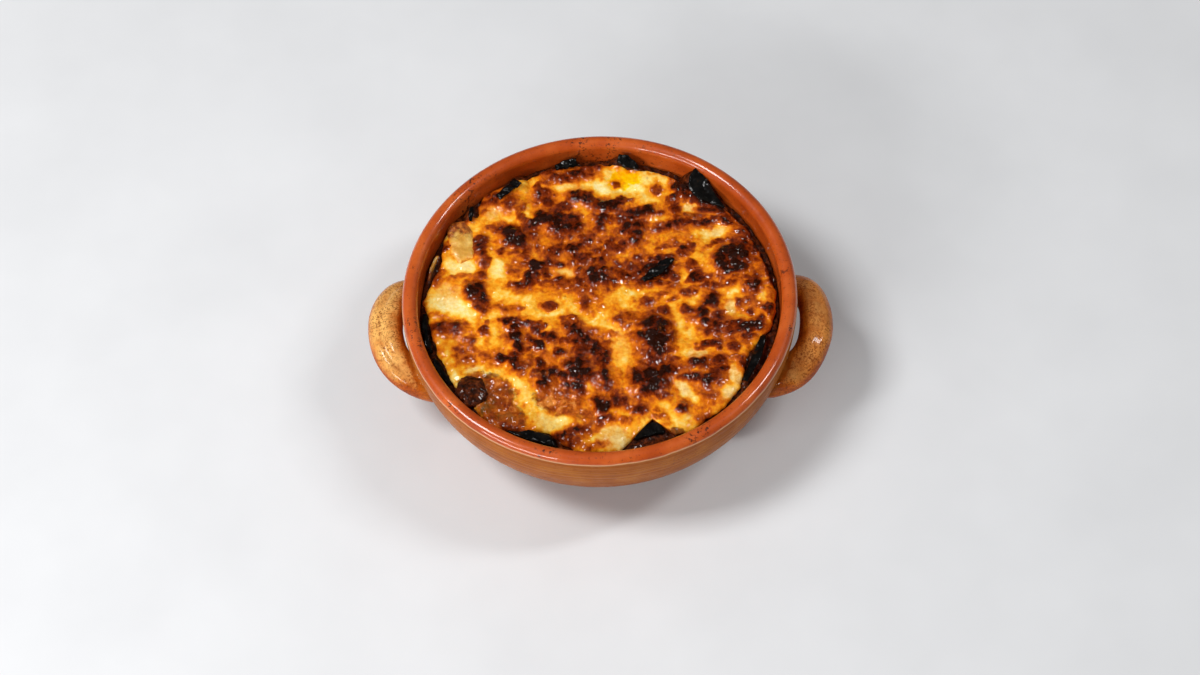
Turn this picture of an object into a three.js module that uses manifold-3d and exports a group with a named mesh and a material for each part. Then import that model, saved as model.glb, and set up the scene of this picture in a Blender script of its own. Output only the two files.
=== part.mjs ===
// Baked lasagna in a small round clay dish with two ear-shaped handles.
// Millimetres, +Z up, origin at the middle of the dish's foot, handles along X.

import * as THREE from "three";
import { mergeVertices } from "three/addons/utils/BufferGeometryUtils.js";
import Module from "manifold-3d";

const wasm = await Module();
wasm.setup();

// Driving dimensions of the dish
const HEIGHT = 50;
const OUTER_RADIUS = 75.5;
const WALL = 6;
const FLOOR = 6;
const BELLY_ARC = 53.3;
const BELLY_TOP = 45.5;
const SEGMENTS = 64;

// Handles: a flattened strap that leaves the wall, reaches out and comes back
const HANDLE_ROOT = 64;
const HANDLE_SIDES = 14;
const HANDLE_STEPS = 18;
const HANDLE_SQUARENESS = 0.5;
const HANDLE_LOW = 23;
const HANDLE_HIGH = 34;
const HANDLE_LEAN = 20;
const HANDLE_END_DEPTH = 3.2;
const HANDLE_TAIL = new THREE.Vector3(-9, 0, -2);
const FOOT_FLARE = 0.22;
const FOOT_FLARE_POWER = 6;
const GROOVE_SHARE = 0.28;
const HANDLES = [
  {
    side: -1, azimuth: 3.4, reach: 19.1, spread: 19.9, width: 14.2, thick: 9.6, groove: 0.9,
    nearSquareness: 0.68, nearTaper: 0.22,
  },
  {
    side: 1, azimuth: -6.5, reach: 19.5, spread: 19.6, width: 13, thick: 10, groove: 0.35,
    nearSquareness: 0.56, nearTaper: 0.06,
  },
];

// Levels of the food
const GAP = 0.4;
const BED_GAP = 0.55;
const MEAT_LEVEL = 38;
const MEAT_AT_WALL = 40;
const MEAT_EDGE_DROP = 0.5;
const MEAT_RINGS = [66.2, 63.4, 60.4];
const MEAT_COVERED_RADIUS = 57;
const CHEESE_BASE = 38.4;
const CHEESE_LEVEL = 42.5;
const BLISTER_RISE = 1.2;
const CHEESE_ROUND_OFF = 1.7;
const CHEESE_RADIUS = 66;
const CHEESE_CELLS = 32;
const CHEESE_UNDERCUT = 0.985;
const ABOVE_ALL = 60;

const rad = THREE.MathUtils.degToRad;

// Swells and dents of the cheese's edge: azimuth and half width in degrees, amount in mm
const EDGE_SWELLS = [
  { at: 0, half: 18, by: 2 },
  { at: 27, half: 8, by: 1 },
  { at: 52, half: 18, by: -0.8 },
  { at: 76, half: 12, by: -1 },
  { at: 103, half: 9, by: 1.4 },
  { at: 127, half: 11, by: 2.8 },
  { at: 137.5, half: 3.5, by: -2.6 },
  { at: 150, half: 8, by: 2.4 },
  { at: 163, half: 8, by: -1.4 },
  { at: 177, half: 7, by: 2.2 },
  { at: 200, half: 18, by: -1 },
  { at: 218, half: 6, by: -2.6 },
  { at: 230, half: 9, by: 2.2 },
  { at: 248.5, half: 13, by: -5 },
  { at: 334, half: 17, by: -4.4 },
];

// The cheese's straight-sided notch at the near edge: its tip and its two ends at the wall
const NOTCH = {
  tip: new THREE.Vector2(18, -53),
  start: new THREE.Vector2(5, -66),
  end: new THREE.Vector2(27, -60.5),
};

// Browned blisters: x, y, half sizes along and across, turn in degrees, height
const BLISTERS = [
  [-16, 36.9, 11, 5, -20, 1.3],
  [-33, 31.2, 6, 4, -20, 1],
  [-45, 26.8, 6, 3.5, 85, 0.8],
  [-49, 5.7, 6, 4.5, 80, 0.9],
  [-25, 13.2, 5.5, 5, 50, 1],
  [-6, 48.7, 6, 4, -25, 1],
  [-33, 46.6, 6, 5, 0, 1.1],
  [-58, -10.3, 6, 4, -10, 0.9],
  [-32, -16.8, 5.5, 3, 85, 0.9],
  [-32, -29.2, 4, 3.5, 0, 0.8],
  [-22, -34.4, 5.5, 3.5, 80, 1.1],
  [-9, -31.7, 6.5, 6.5, 0, 1.5],
  [0, -47.3, 4.5, 4.5, 0, 1],
  [0, -34.2, 5, 4, 80, 0.8],
  [-11, -12.2, 6, 4, 70, 0.8],
  [6, 44.7, 7, 3.5, 5, 0.9],
  [20, 40.8, 5, 3.5, 0, 0.8],
  [14.5, 31.6, 6.5, 4, 100, 1.1],
  [36, 34.9, 6, 4, -10, 0.7],
  [51.5, 15.5, 9, 8, 60, 1.9],
  [59, 4.7, 4.5, 4.5, 0, 1],
  [1, 12.7, 4.5, 4.5, 0, 0.9],
  [20.5, -17, 9.5, 7.5, 95, 1.9],
  [17, -37.2, 8, 6.5, 20, 1.5],
  [41, -5.4, 7, 4, 45, 1.1],
  [51, -13.8, 11, 5, 0, 1],
  [35, -30.3, 5, 4, 0, 0.9],
  [41, -37.3, 5.5, 4, 20, 0.9],
  [28.5, -49.7, 4, 4, 0, 0.8],
  [8, -10.1, 4, 4, 0, 0.7],
  [34.2, 50, 4.2, 3.6, 0, 1.8],
];

// Slow waves of the surface: rise, and the lengths along x and y that make one radian
const CHEESE_WAVES = [
  { rise: 0.35, along: 8, across: 7 },
  { rise: 0.25, along: 4.5, across: 5.5 },
];

// Hollows where pale sauce shows between the blisters: x, y, radius, depth
const HOLLOWS = [
  [12, 55, 9, 0.9],
  [-12, 14, 5, 0.7],
  [37, 43, 5, 0.8],
  [46, 30, 7, 0.7],
  [-58, 4, 8, 0.7],
  [-38, -42, 9, 1.3],
  [-18, -43, 8, 0.6],
  [31, -40, 6, 0.7],
  [32, -15, 6, 0.7],
  [23, 14, 7, 0.9],
];

// Aubergine skins and slices. A station is x, y, z, width and how far its left edge stands up.
const SHEETS = [
  {
    name: "skin_top_left", color: 0x15130f, thick: 1.1, wave: 0.25,
    stations: [
      [-38.6, 50.2, 43.9, 2.6, 0.2],
      [-34.2, 53.4, 45.0, 3.7, -0.4],
      [-30.4, 56.2, 46.1, 5.0, -0.7],
    ],
  },
  {
    name: "skin_small_left", color: 0x2a1c14, thick: 0.9, wave: 0.15,
    stations: [
      [-48.9, 45.6, 44.2, 1.3, 0],
      [-49.2, 42.3, 44.6, 2.1, 0.3],
      [-49.5, 39.0, 44.2, 1.2, 0],
    ],
  },
  {
    name: "skin_top", color: 0x1c1512, thick: 1.4, wave: 0.2,
    stations: [
      [-15.6, 63.9, 43.5, 2.0, 0.2],
      [-11.0, 65.0, 44.2, 3.4, 0.6],
      [-7.0, 65.6, 44.4, 2.6, 0.8],
    ],
  },
  {
    name: "skin_top_small", color: 0x1a1713, thick: 1.1, wave: 0.15,
    stations: [
      [9.4, 65.6, 46.0, 2.8, 0.8],
      [12.8, 64.3, 45.2, 4.2, 1.4],
      [17.6, 62.2, 43.7, 1.5, 0.2],
    ],
  },
  {
    name: "skin_corner", color: 0x12110e, thick: 1.2, wave: 0.2,
    stations: [
      [39.4, 57.2, 48.0, 1.0, 0.1],
      [39.8, 54.4, 47.1, 5.4, 0.2],
      [40.8, 51.0, 46.0, 8.2, 0.3],
      [43.0, 48.0, 45.0, 7.6, 0.3],
      [46.4, 44.8, 44.2, 3.8, 0.2],
      [50.4, 41.4, 43.6, 1.2, 0.1],
    ],
  },
  {
    name: "skin_right", color: 0x14120f, thick: 1.0, wave: 0.25,
    stations: [
      [61.6, -18.6, 42.7, 2.2, 0.3],
      [58.6, -27.0, 42.3, 3.8, 0.8],
      [53.4, -37.6, 41.7, 2.2, 0.3],
    ],
  },
  {
    name: "skin_notch", color: 0x14130f, thick: 1.0, wave: 0.1,
    stations: [
      [11.2, -60.6, 40.6, 1.0, 0.1],
      [15.0, -58.2, 41.1, 3.8, 0.3],
      [18.4, -56.8, 41.4, 5.6, 0.3],
      [22.4, -58.4, 40.9, 1.2, 0.1],
    ],
  },
  {
    name: "skin_bottom_left", color: 0x151310, thick: 1.6, wave: 0.4,
    stations: [
      [-36.6, -56.4, 41.8, 1.2, 0],
      [-31.0, -57.6, 42.2, 3.0, -0.2],
      [-26.4, -58.8, 42.8, 5.0, -0.3],
      [-21.6, -60.8, 42.6, 4.4, -0.3],
      [-17.8, -63.2, 41.4, 1.4, 0],
    ],
  },
  {
    name: "skin_left_upper", color: 0x221611, thick: 1.0, wave: 0.25,
    stations: [
      [-67.2, -2.2, 41.7, 1.6, -0.2],
      [-67.0, -9.0, 42.0, 2.4, -0.5],
      [-65.8, -16.0, 41.7, 2.4, -0.5],
      [-64.6, -19.8, 41.3, 1.4, -0.2],
    ],
  },
  {
    name: "skin_left_lower", color: 0x100f0d, thick: 1.0, wave: 0.2,
    stations: [
      [-63.6, -22.4, 41.6, 1.8, -0.2],
      [-61.4, -27.6, 41.8, 3.0, -0.5],
      [-57.4, -34.4, 41.3, 1.6, -0.2],
    ],
  },
  {
    name: "skin_centre", color: 0x17150f, thick: 1.3, wave: 0.3,
    stations: [
      [17.0, 8.6, 43.1, 1.8, 0],
      [21.0, 11.2, 43.6, 4.4, -0.4],
      [25.2, 14.8, 43.8, 4.8, -0.4],
      [29.0, 18.2, 43.3, 2.0, 0],
    ],
  },
  {
    name: "aubergine_slice", color: 0xd9c06a, thick: 1.2, wave: 0.15,
    stations: [
      [-50.8, 21.2, 42.4, 6.4, 0],
      [-52.4, 25.0, 42.7, 9.4, 0.1],
      [-53.0, 30.5, 42.9, 10.6, 0.2],
      [-54.0, 36.0, 43.0, 9.4, 0.1],
      [-54.4, 40.2, 42.8, 5.6, 0],
    ],
  },
  {
    name: "slice_edge", color: 0x9a8f4a, thick: 1.0, wave: 0.15,
    stations: [
      [-62.4, 24.8, 42.0, 1.1, 0],
      [-64.7, 18.8, 42.0, 1.5, -0.2],
      [-65.9, 13.2, 41.6, 1.1, 0],
    ],
  },
];
const SHEET_STEPS = 12;
const SHEET_WAVES = 2.5;
const SHEET_ACROSS = [-1, -0.35, 0.35, 1];
const HEAP_MARGIN = 1.6;
const HEAP_FALL = 2;

// The lump of minced meat that sits at the lower left edge of the cheese
const MEAT_LUMP = { at: [-49.2, -38.4, 42.1], size: [5.3, 6.5, 3.4], turn: 14 };

// Radius of the dish's wall at height z, set in from its outer face
function wallRadius(z, inset) {
  const drop = Math.max(0, BELLY_TOP - z);
  const arc = BELLY_ARC - inset;
  return OUTER_RADIUS - BELLY_ARC + Math.sqrt(arc * arc - drop * drop);
}

// Points of a wall's outline between two heights, both ends included
function wallOutline(fromZ, toZ, inset, steps) {
  return Array.from({ length: steps + 1 }, (_, i) => {
    const z = fromZ + ((toZ - fromZ) * i) / steps;
    return new THREE.Vector2(wallRadius(z, inset), z);
  });
}

// A profile of (radius, height) points spun round the Z axis
function spin(profile) {
  return new THREE.LatheGeometry(profile, SEGMENTS).rotateX(Math.PI / 2);
}

// Six times the signed volume of an indexed triangle mesh
function signedVolume(positions, index) {
  const corner = (k) => new THREE.Vector3().fromArray(positions, 3 * index[k]);
  let sum = 0;
  for (let k = 0; k < index.length; k += 3) {
    sum += corner(k).dot(corner(k + 1).cross(corner(k + 2)));
  }
  return sum;
}

// A geometry as a solid that can be joined or cut, facing out
function toSolid(geometry) {
  const bare = geometry.clone();
  bare.deleteAttribute("normal");
  bare.deleteAttribute("uv");
  const merged = mergeVertices(bare, 1e-4);
  const positions = Array.from(merged.attributes.position.array);
  const corners = Array.from(merged.index.array);
  const kept = [];
  for (let k = 0; k < corners.length; k += 3) {
    const [a, b, c] = corners.slice(k, k + 3);
    if (a !== b && b !== c && c !== a) kept.push(a, b, c);
  }
  if (signedVolume(positions, kept) < 0) kept.reverse();
  return new wasm.Manifold(new wasm.Mesh({
    numProp: 3,
    vertProperties: new Float32Array(positions),
    triVerts: new Uint32Array(kept),
  }));
}

// The largest body of a solid, without scraps that a cut left loose
function largestBody(solid) {
  return solid.decompose().sort((a, b) => b.volume() - a.volume())[0];
}

function toGeometry(solid) {
  const mesh = solid.getMesh();
  const geometry = new THREE.BufferGeometry();
  geometry.setAttribute("position", new THREE.BufferAttribute(mesh.vertProperties, 3));
  geometry.setIndex(new THREE.BufferAttribute(mesh.triVerts, 1));
  geometry.computeVertexNormals();
  return geometry;
}

// A closed solid from rings of points: each ring joins the next, and both ends are capped
function ringSolid(rings) {
  const points = rings.flat();
  const sides = rings[0].length;
  const index = [];
  for (let r = 0; r < rings.length - 1; r += 1) {
    for (let s = 0; s < sides; s += 1) {
      const a = r * sides + s;
      const b = r * sides + ((s + 1) % sides);
      index.push(a, b, b + sides, a, b + sides, a + sides);
    }
  }
  const last = (rings.length - 1) * sides;
  for (let s = 1; s < sides - 1; s += 1) {
    index.push(0, s + 1, s, last, last + s, last + s + 1);
  }
  const geometry = new THREE.BufferGeometry().setFromPoints(points);
  geometry.setIndex(index);
  return toSolid(geometry);
}

// The bowl of the dish: belly, half-round lip, inner wall and flat floor
function bowlSolid() {
  const lipRadius = WALL / 2;
  const lip = Array.from({ length: 7 }, (_, i) => {
    const turn = (Math.PI * i) / 6;
    return new THREE.Vector2(
      OUTER_RADIUS - lipRadius + lipRadius * Math.cos(turn),
      HEIGHT - lipRadius + lipRadius * Math.sin(turn),
    );
  });
  const profile = [
    new THREE.Vector2(0, 0),
    ...wallOutline(0, BELLY_TOP, 0, 8),
    ...lip,
    ...wallOutline(FLOOR, BELLY_TOP, WALL, 7).reverse(),
    new THREE.Vector2(0, FLOOR),
  ];
  return toSolid(spin(profile));
}

// Everything inside the wall, set in from its outer face, up past the rim
function insideSolid(inset) {
  const profile = [
    new THREE.Vector2(0, -1),
    ...wallOutline(0, BELLY_TOP, inset, 8),
    new THREE.Vector2(OUTER_RADIUS - inset, ABOVE_ALL),
    new THREE.Vector2(0, ABOVE_ALL),
  ];
  return toSolid(spin(profile));
}

// One point of a handle's middle line; angle runs from -90 to 90 degrees
function handlePoint(handle, angle) {
  const out = Math.max(0, Math.cos(angle)) ** (angle < 0 ? handle.nearSquareness : HANDLE_SQUARENESS);
  return new THREE.Vector3(
    HANDLE_ROOT + handle.reach * out,
    handle.spread * Math.sin(angle),
    HANDLE_LOW + (HANDLE_HIGH - HANDLE_LOW) * out,
  );
}

// One ring of a handle's strap: an oval with a groove along its top, wider at the feet
function handleRing(handle, angle) {
  const step = 0.002;
  const middle = handlePoint(handle, angle);
  const along = handlePoint(handle, angle + step).sub(handlePoint(handle, angle - step)).normalize();
  const across = along.clone().cross(new THREE.Vector3(0, 0, 1)).normalize();
  const up = across.clone().cross(along);
  across.applyAxisAngle(along, rad(HANDLE_LEAN));
  up.applyAxisAngle(along, rad(HANDLE_LEAN));
  const flare = 1 + FOOT_FLARE * Math.abs(Math.sin(angle)) ** FOOT_FLARE_POWER;
  const taper = 1 - handle.nearTaper * Math.max(0, -Math.sin(angle)) ** 2;
  return Array.from({ length: HANDLE_SIDES }, (_, i) => {
    const turn = (2 * Math.PI * i) / HANDLE_SIDES;
    const wide = Math.cos(turn);
    const high = Math.sin(turn);
    const depth = handle.groove * Math.exp(-((wide / GROOVE_SHARE) ** 2)) * Math.cos(angle);
    const groove = high > 0 ? depth : 0;
    return middle.clone()
      .addScaledVector(across, (wide * flare * taper * handle.width) / 2)
      .addScaledVector(up, (high * flare * handle.thick) / 2 - groove);
  });
}

function handleSolid(handle) {
  const rings = [];
  for (let i = 0; i <= HANDLE_STEPS; i += 1) {
    rings.push(handleRing(handle, rad(88 * ((2 * i) / HANDLE_STEPS - 1))));
  }
  const tail = (ring) => ring.map((p) => p.clone().add(HANDLE_TAIL));
  rings.unshift(tail(rings[0]));
  rings.push(tail(rings[rings.length - 1]));
  const turn = handle.side < 0 ? Math.PI + rad(handle.azimuth) : rad(handle.azimuth);
  const placed = rings.map((ring) => ring.map((p) => {
    const spot = handle.side < 0 ? new THREE.Vector3(p.x, -p.y, p.z) : p;
    return spot.applyAxisAngle(new THREE.Vector3(0, 0, 1), turn);
  }));
  return ringSolid(placed).subtract(insideSolid(HANDLE_END_DEPTH));
}

function dishSolid() {
  return HANDLES.reduce((dish, handle) => dish.add(handleSolid(handle)), bowlSolid());
}

// Where a ray from the middle at an azimuth meets the straight line through two points
function rayToLine(azimuth, from, to) {
  const side = to.clone().sub(from);
  const ray = new THREE.Vector2(Math.cos(azimuth), Math.sin(azimuth));
  return from.cross(side) / ray.cross(side);
}

// Radius of the cheese's edge at an azimuth in radians
function cheeseEdge(azimuth) {
  const degrees = (THREE.MathUtils.radToDeg(azimuth) + 360) % 360;
  let radius = CHEESE_RADIUS;
  for (const { at, half, by } of EDGE_SWELLS) {
    const away = Math.abs(((degrees - at + 540) % 360) - 180) / half;
    if (away < 1) radius += by * Math.cos((away * Math.PI) / 2) ** 2;
  }
  const azimuthOf = (p) => (THREE.MathUtils.radToDeg(p.angle()) + 360) % 360;
  const { tip, start, end } = NOTCH;
  if (degrees > azimuthOf(start) && degrees < azimuthOf(end)) {
    const side = degrees < azimuthOf(tip) ? start : end;
    radius = Math.min(radius, rayToLine(azimuth, side, tip));
  }
  return radius;
}

// A sheet's stations as a smooth line, with its width and lean between them
function sheetLine(stations) {
  const curve = new THREE.CatmullRomCurve3(stations.map(([x, y, z]) => new THREE.Vector3(x, y, z)));
  const between = (column, t) => {
    const place = t * (stations.length - 1);
    const k = Math.min(Math.floor(place), stations.length - 2);
    return THREE.MathUtils.lerp(stations[k][column], stations[k + 1][column], place - k);
  };
  return (t) => ({
    point: curve.getPoint(t),
    along: curve.getTangent(t).setZ(0).normalize(),
    width: between(3, t),
    lean: between(4, t),
  });
}

// Where the food is heaped up, so that every sheet lies on a bed of its own
const HEAPS = SHEETS.flatMap(({ stations, thick }) => {
  const line = sheetLine(stations);
  return Array.from({ length: SHEET_STEPS + 1 }, (_, i) => {
    const { point, width, lean } = line(i / SHEET_STEPS);
    const top = point.z - Math.abs(lean) - thick / 2;
    return { x: point.x, y: point.y, top, half: width / 2 + HEAP_MARGIN };
  });
});

// Height of the highest heap at x, y
function heapHeight(x, y) {
  return Math.max(...HEAPS.map((heap) => {
    const away = Math.hypot(x - heap.x, y - heap.y) / heap.half;
    return heap.top - HEAP_FALL * away * away;
  }));
}

// A soft bump, 1 at its middle and 0 from its rim outwards
function bump(distance) {
  const inside = Math.max(0, 1 - distance * distance);
  return inside * inside * (3 - 2 * inside);
}

// Height of the cheese at x, y; edge is how far out it lies, 0 in the middle and 1 at the edge
function cheeseHeight(x, y, edge) {
  let z = CHEESE_LEVEL;
  for (const { rise, along, across } of CHEESE_WAVES) {
    z += rise * Math.sin(x / along + 1) * Math.cos(y / across);
  }
  for (const [bx, by, along, across, turn, height] of BLISTERS) {
    const c = Math.cos(rad(turn));
    const s = Math.sin(rad(turn));
    const u = ((x - bx) * c + (y - by) * s) / along;
    const v = ((y - by) * c - (x - bx) * s) / across;
    z += BLISTER_RISE * height * bump(Math.hypot(u, v) / 1.25);
  }
  for (const [hx, hy, radius, depth] of HOLLOWS) {
    z -= depth * bump(Math.hypot(x - hx, y - hy) / radius);
  }
  const rim = Math.max(0, (edge - 0.9) / 0.1);
  return Math.max(z - CHEESE_ROUND_OFF * rim * rim, heapHeight(x, y));
}

// A square grid point, both values from -1 to 1, moved onto the unit disc
function squareToDisc(u, v) {
  const far = Math.max(Math.abs(u), Math.abs(v));
  if (far === 0) return { edge: 0, azimuth: 0 };
  return { edge: far, azimuth: azimuthOnSquare(u, v) };
}

// Azimuth that spreads the points of a square ring evenly round a circle
function azimuthOnSquare(u, v) {
  if (Math.abs(u) >= Math.abs(v)) {
    return (Math.PI / 4) * (v / u) + (u < 0 ? Math.PI : 0);
  }
  return Math.PI / 2 - (Math.PI / 4) * (u / v) + (v < 0 ? Math.PI : 0);
}

// The cheese as a relief over a flat base, before anything is cut out of it
function cheeseBlank() {
  const n = CHEESE_CELLS;
  const at = (i, j) => j * (n + 1) + i;
  const points = [];
  for (let j = 0; j <= n; j += 1) {
    for (let i = 0; i <= n; i += 1) {
      const { edge, azimuth } = squareToDisc((2 * i) / n - 1, (2 * j) / n - 1);
      const r = edge * cheeseEdge(azimuth);
      const x = r * Math.cos(azimuth);
      const y = r * Math.sin(azimuth);
      points.push(new THREE.Vector3(x, y, cheeseHeight(x, y, edge)));
    }
  }
  const index = [];
  for (let j = 0; j < n; j += 1) {
    for (let i = 0; i < n; i += 1) {
      index.push(at(i, j), at(i + 1, j), at(i + 1, j + 1), at(i, j), at(i + 1, j + 1), at(i, j + 1));
    }
  }
  const rim = [];
  for (let k = 0; k < n; k += 1) rim.push(at(k, 0));
  for (let k = 0; k < n; k += 1) rim.push(at(n, k));
  for (let k = n; k > 0; k -= 1) rim.push(at(k, n));
  for (let k = n; k > 0; k -= 1) rim.push(at(0, k));
  const firstLow = points.length;
  for (const k of rim) {
    const low = new THREE.Vector3(points[k].x, points[k].y, 0).multiplyScalar(CHEESE_UNDERCUT);
    points.push(low.setZ(CHEESE_BASE));
  }
  const middle = points.length;
  points.push(new THREE.Vector3(0, 0, CHEESE_BASE));
  for (let k = 0; k < rim.length; k += 1) {
    const next = (k + 1) % rim.length;
    index.push(rim[k], firstLow + next, rim[next], rim[k], firstLow + k, firstLow + next);
    index.push(firstLow + k, middle, firstLow + next);
  }
  const geometry = new THREE.BufferGeometry().setFromPoints(points);
  geometry.setIndex(index);
  return toSolid(geometry);
}

// The space the cheese takes up, grown sideways by the gap, from its base up
function cheeseSpace() {
  const outline = Array.from({ length: 2 * SEGMENTS }, (_, i) => {
    const azimuth = (Math.PI * i) / SEGMENTS;
    const r = cheeseEdge(azimuth) + GAP;
    return new THREE.Vector2(r * Math.cos(azimuth), r * Math.sin(azimuth));
  });
  const prism = new THREE.ExtrudeGeometry(new THREE.Shape(outline), {
    depth: ABOVE_ALL - MEAT_LEVEL,
    bevelEnabled: false,
  });
  return toSolid(prism.translate(0, 0, MEAT_LEVEL));
}

// Lumps of minced meat where the filling shows at the wall
function meatHeight(radius, azimuth) {
  const grain = 0.45 * Math.sin(azimuth * 19) * Math.cos(radius * 1.3) + 0.3 * Math.sin(azimuth * 41);
  const heap = heapHeight(radius * Math.cos(azimuth), radius * Math.sin(azimuth));
  return Math.max(MEAT_AT_WALL + grain, heap);
}

// The layer of meat sauce, from the dish's floor up to the cheese
function fillingSolid() {
  const inset = WALL + GAP;
  const ring = (r, heightAt) => Array.from({ length: SEGMENTS }, (_, i) => {
    const azimuth = (2 * Math.PI * i) / SEGMENTS;
    return new THREE.Vector3(r * Math.cos(azimuth), r * Math.sin(azimuth), heightAt(r, azimuth));
  });
  const side = wallOutline(FLOOR + GAP, MEAT_LEVEL, inset, 6).map(({ x, y }) => ring(x, () => y));
  const atWall = (r, azimuth) => meatHeight(r, azimuth) - MEAT_EDGE_DROP;
  const blank = ringSolid([
    ...side,
    ring(wallRadius(MEAT_AT_WALL, inset), atWall),
    ...MEAT_RINGS.map((r) => ring(r, meatHeight)),
    ring(MEAT_COVERED_RADIUS, () => MEAT_LEVEL),
  ]);
  return blank.subtract(cheeseSpace());
}

// A thin wavy solid along a sheet's stations. To cut its bed it is grown, with a flat top at high.
function sheetSolid({ stations, thick, wave }, grow = 0, high = null) {
  const line = sheetLine(stations);
  const columns = SHEET_ACROSS.length;
  const upper = [];
  const lower = [];
  for (let i = 0; i <= SHEET_STEPS; i += 1) {
    const t = i / SHEET_STEPS;
    const { point, along, width, lean } = line(t);
    const left = new THREE.Vector3(-along.y, along.x, 0);
    const end = i === 0 ? -grow : (i === SHEET_STEPS ? grow : 0);
    for (const across of SHEET_ACROSS) {
      const sideways = across * (width / 2 + grow);
      const p = point.clone().addScaledVector(along, end).addScaledVector(left, sideways);
      p.z += across * lean + wave * Math.sin(2 * Math.PI * SHEET_WAVES * t + 2 * across);
      upper.push(new THREE.Vector3(p.x, p.y, high ?? p.z + thick / 2));
      lower.push(new THREE.Vector3(p.x, p.y, p.z - thick / 2 - grow));
    }
  }
  const index = [];
  const base = upper.length;
  const edge = [];
  for (let i = 0; i < SHEET_STEPS; i += 1) {
    for (let j = 0; j < columns - 1; j += 1) {
      const a = i * columns + j;
      const [b, c, d] = [a + columns, a + columns + 1, a + 1];
      index.push(a, b, c, a, c, d, base + a, base + c, base + b, base + a, base + d, base + c);
    }
  }
  for (let j = 0; j < columns - 1; j += 1) edge.push(j);
  for (let i = 0; i < SHEET_STEPS; i += 1) edge.push(i * columns + columns - 1);
  for (let j = columns - 1; j > 0; j -= 1) edge.push(SHEET_STEPS * columns + j);
  for (let i = SHEET_STEPS; i > 0; i -= 1) edge.push(i * columns);
  for (let k = 0; k < edge.length; k += 1) {
    const a = edge[k];
    const b = edge[(k + 1) % edge.length];
    index.push(a, b, base + b, a, base + b, base + a);
  }
  const geometry = new THREE.BufferGeometry().setFromPoints([...upper, ...lower]);
  geometry.setIndex(index);
  return toSolid(geometry);
}

// The meat lump as an uneven ball, grown by a gap where it cuts its bed
function lumpSolid(grow = 0) {
  const { at, size, turn } = MEAT_LUMP;
  const ball = new THREE.IcosahedronGeometry(1, 2);
  const spots = ball.attributes.position;
  const p = new THREE.Vector3();
  for (let k = 0; k < spots.count; k += 1) {
    p.fromBufferAttribute(spots, k);
    const swell = 1 + 0.07 * Math.sin(4 * p.x + 1) * Math.cos(5 * p.y) + 0.05 * Math.sin(7 * p.z);
    p.multiplyScalar(swell);
    spots.setXYZ(k, p.x * (size[0] + grow), p.y * (size[1] + grow), p.z * (size[2] + grow));
  }
  return toSolid(ball.rotateZ(rad(turn)).translate(...at));
}

// A named piece with the material of what it is made of
function piece(name, solid, color, roughness) {
  const material = new THREE.MeshStandardMaterial({ color, roughness, metalness: 0 });
  const mesh = new THREE.Mesh(toGeometry(solid), material);
  mesh.name = name;
  return mesh;
}

// The food is cut round its toppings, each with a small gap, and all of it stays inside the wall
const inside = insideSolid(WALL + GAP);
const beds = SHEETS.map((sheet) => sheetSolid(sheet, BED_GAP, ABOVE_ALL));
const lumpBed = lumpSolid(BED_GAP);
const cutRound = (food) => largestBody(
  beds.reduce((rest, bed) => rest.subtract(bed), food.subtract(lumpBed)),
);
const cheese = cutRound(cheeseBlank().intersect(inside));
const filling = cutRound(fillingSolid());

const lasagna = new THREE.Group();
lasagna.add(piece("dish", dishSolid(), 0xb46a38, 0.35));
lasagna.add(piece("filling", filling, 0x7a3a1c, 0.5));
lasagna.add(piece("cheese_top", cheese, 0xd9902c, 0.45));
for (const sheet of SHEETS) {
  lasagna.add(piece(sheet.name, largestBody(sheetSolid(sheet).intersect(inside)), sheet.color, 0.3));
}
lasagna.add(piece("meat_lump", largestBody(lumpSolid().intersect(inside)), 0x5a2d1a, 0.45));

export default lasagna;
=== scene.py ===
"""Baked lasagna in a small clay dish with two ear-shaped handles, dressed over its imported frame.

Sizes are in millimetres and angles in degrees until a mesh is made. +Z is up, the handles lie along X.
"""

import math

import bmesh
import bpy
import numpy as np
from mathutils import Matrix, Vector


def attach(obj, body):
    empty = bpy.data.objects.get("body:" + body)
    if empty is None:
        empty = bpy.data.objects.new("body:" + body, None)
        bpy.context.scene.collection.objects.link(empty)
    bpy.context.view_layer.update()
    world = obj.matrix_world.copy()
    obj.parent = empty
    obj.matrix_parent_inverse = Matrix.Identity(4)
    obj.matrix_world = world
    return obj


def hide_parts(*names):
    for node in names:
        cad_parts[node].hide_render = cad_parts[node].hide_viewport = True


MM = 0.001

# Camera
LENS = 69
SENSOR = 36
CAMERA_ELEVATION = 57.46
CAMERA_ROLL = -2.2
CAMERA_DISTANCE = 904.9
CAMERA_TARGET = (-0.4, 0.0, 16.6)

# Dish
HEIGHT = 50
OUTER_RADIUS = 75.5
WALL = 6
FLOOR = 6
BELLY_ARC = 53.3
BELLY_TOP = 45.5
FOOT_ROUND = 1.5
FOOT_ROUND_INSET = 1
FOOT_ROUND_TURN = 55
WALL_FROM = 2.2
LIP_RADIUS = WALL / 2
LIP_CENTRE = (OUTER_RADIUS - LIP_RADIUS, HEIGHT - LIP_RADIUS)

# Rows of points along each part of the dish's outline, and points round the dish
FOOT_ROWS = 12
FOOT_ROUND_ROWS = 5
WALL_ROWS = 44
LIP_ROWS = 25
INSIDE_ROWS = 36
FLOOR_ROWS = 6
DISH_SEGMENTS = 256

# Hand-thrown wobble: how far out of round, full from which height up, and how far the lip dips
OUT_OF_ROUND = 0.12
WOBBLE_FULL_AT = 20
LIP_DIP = 0.1

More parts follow.
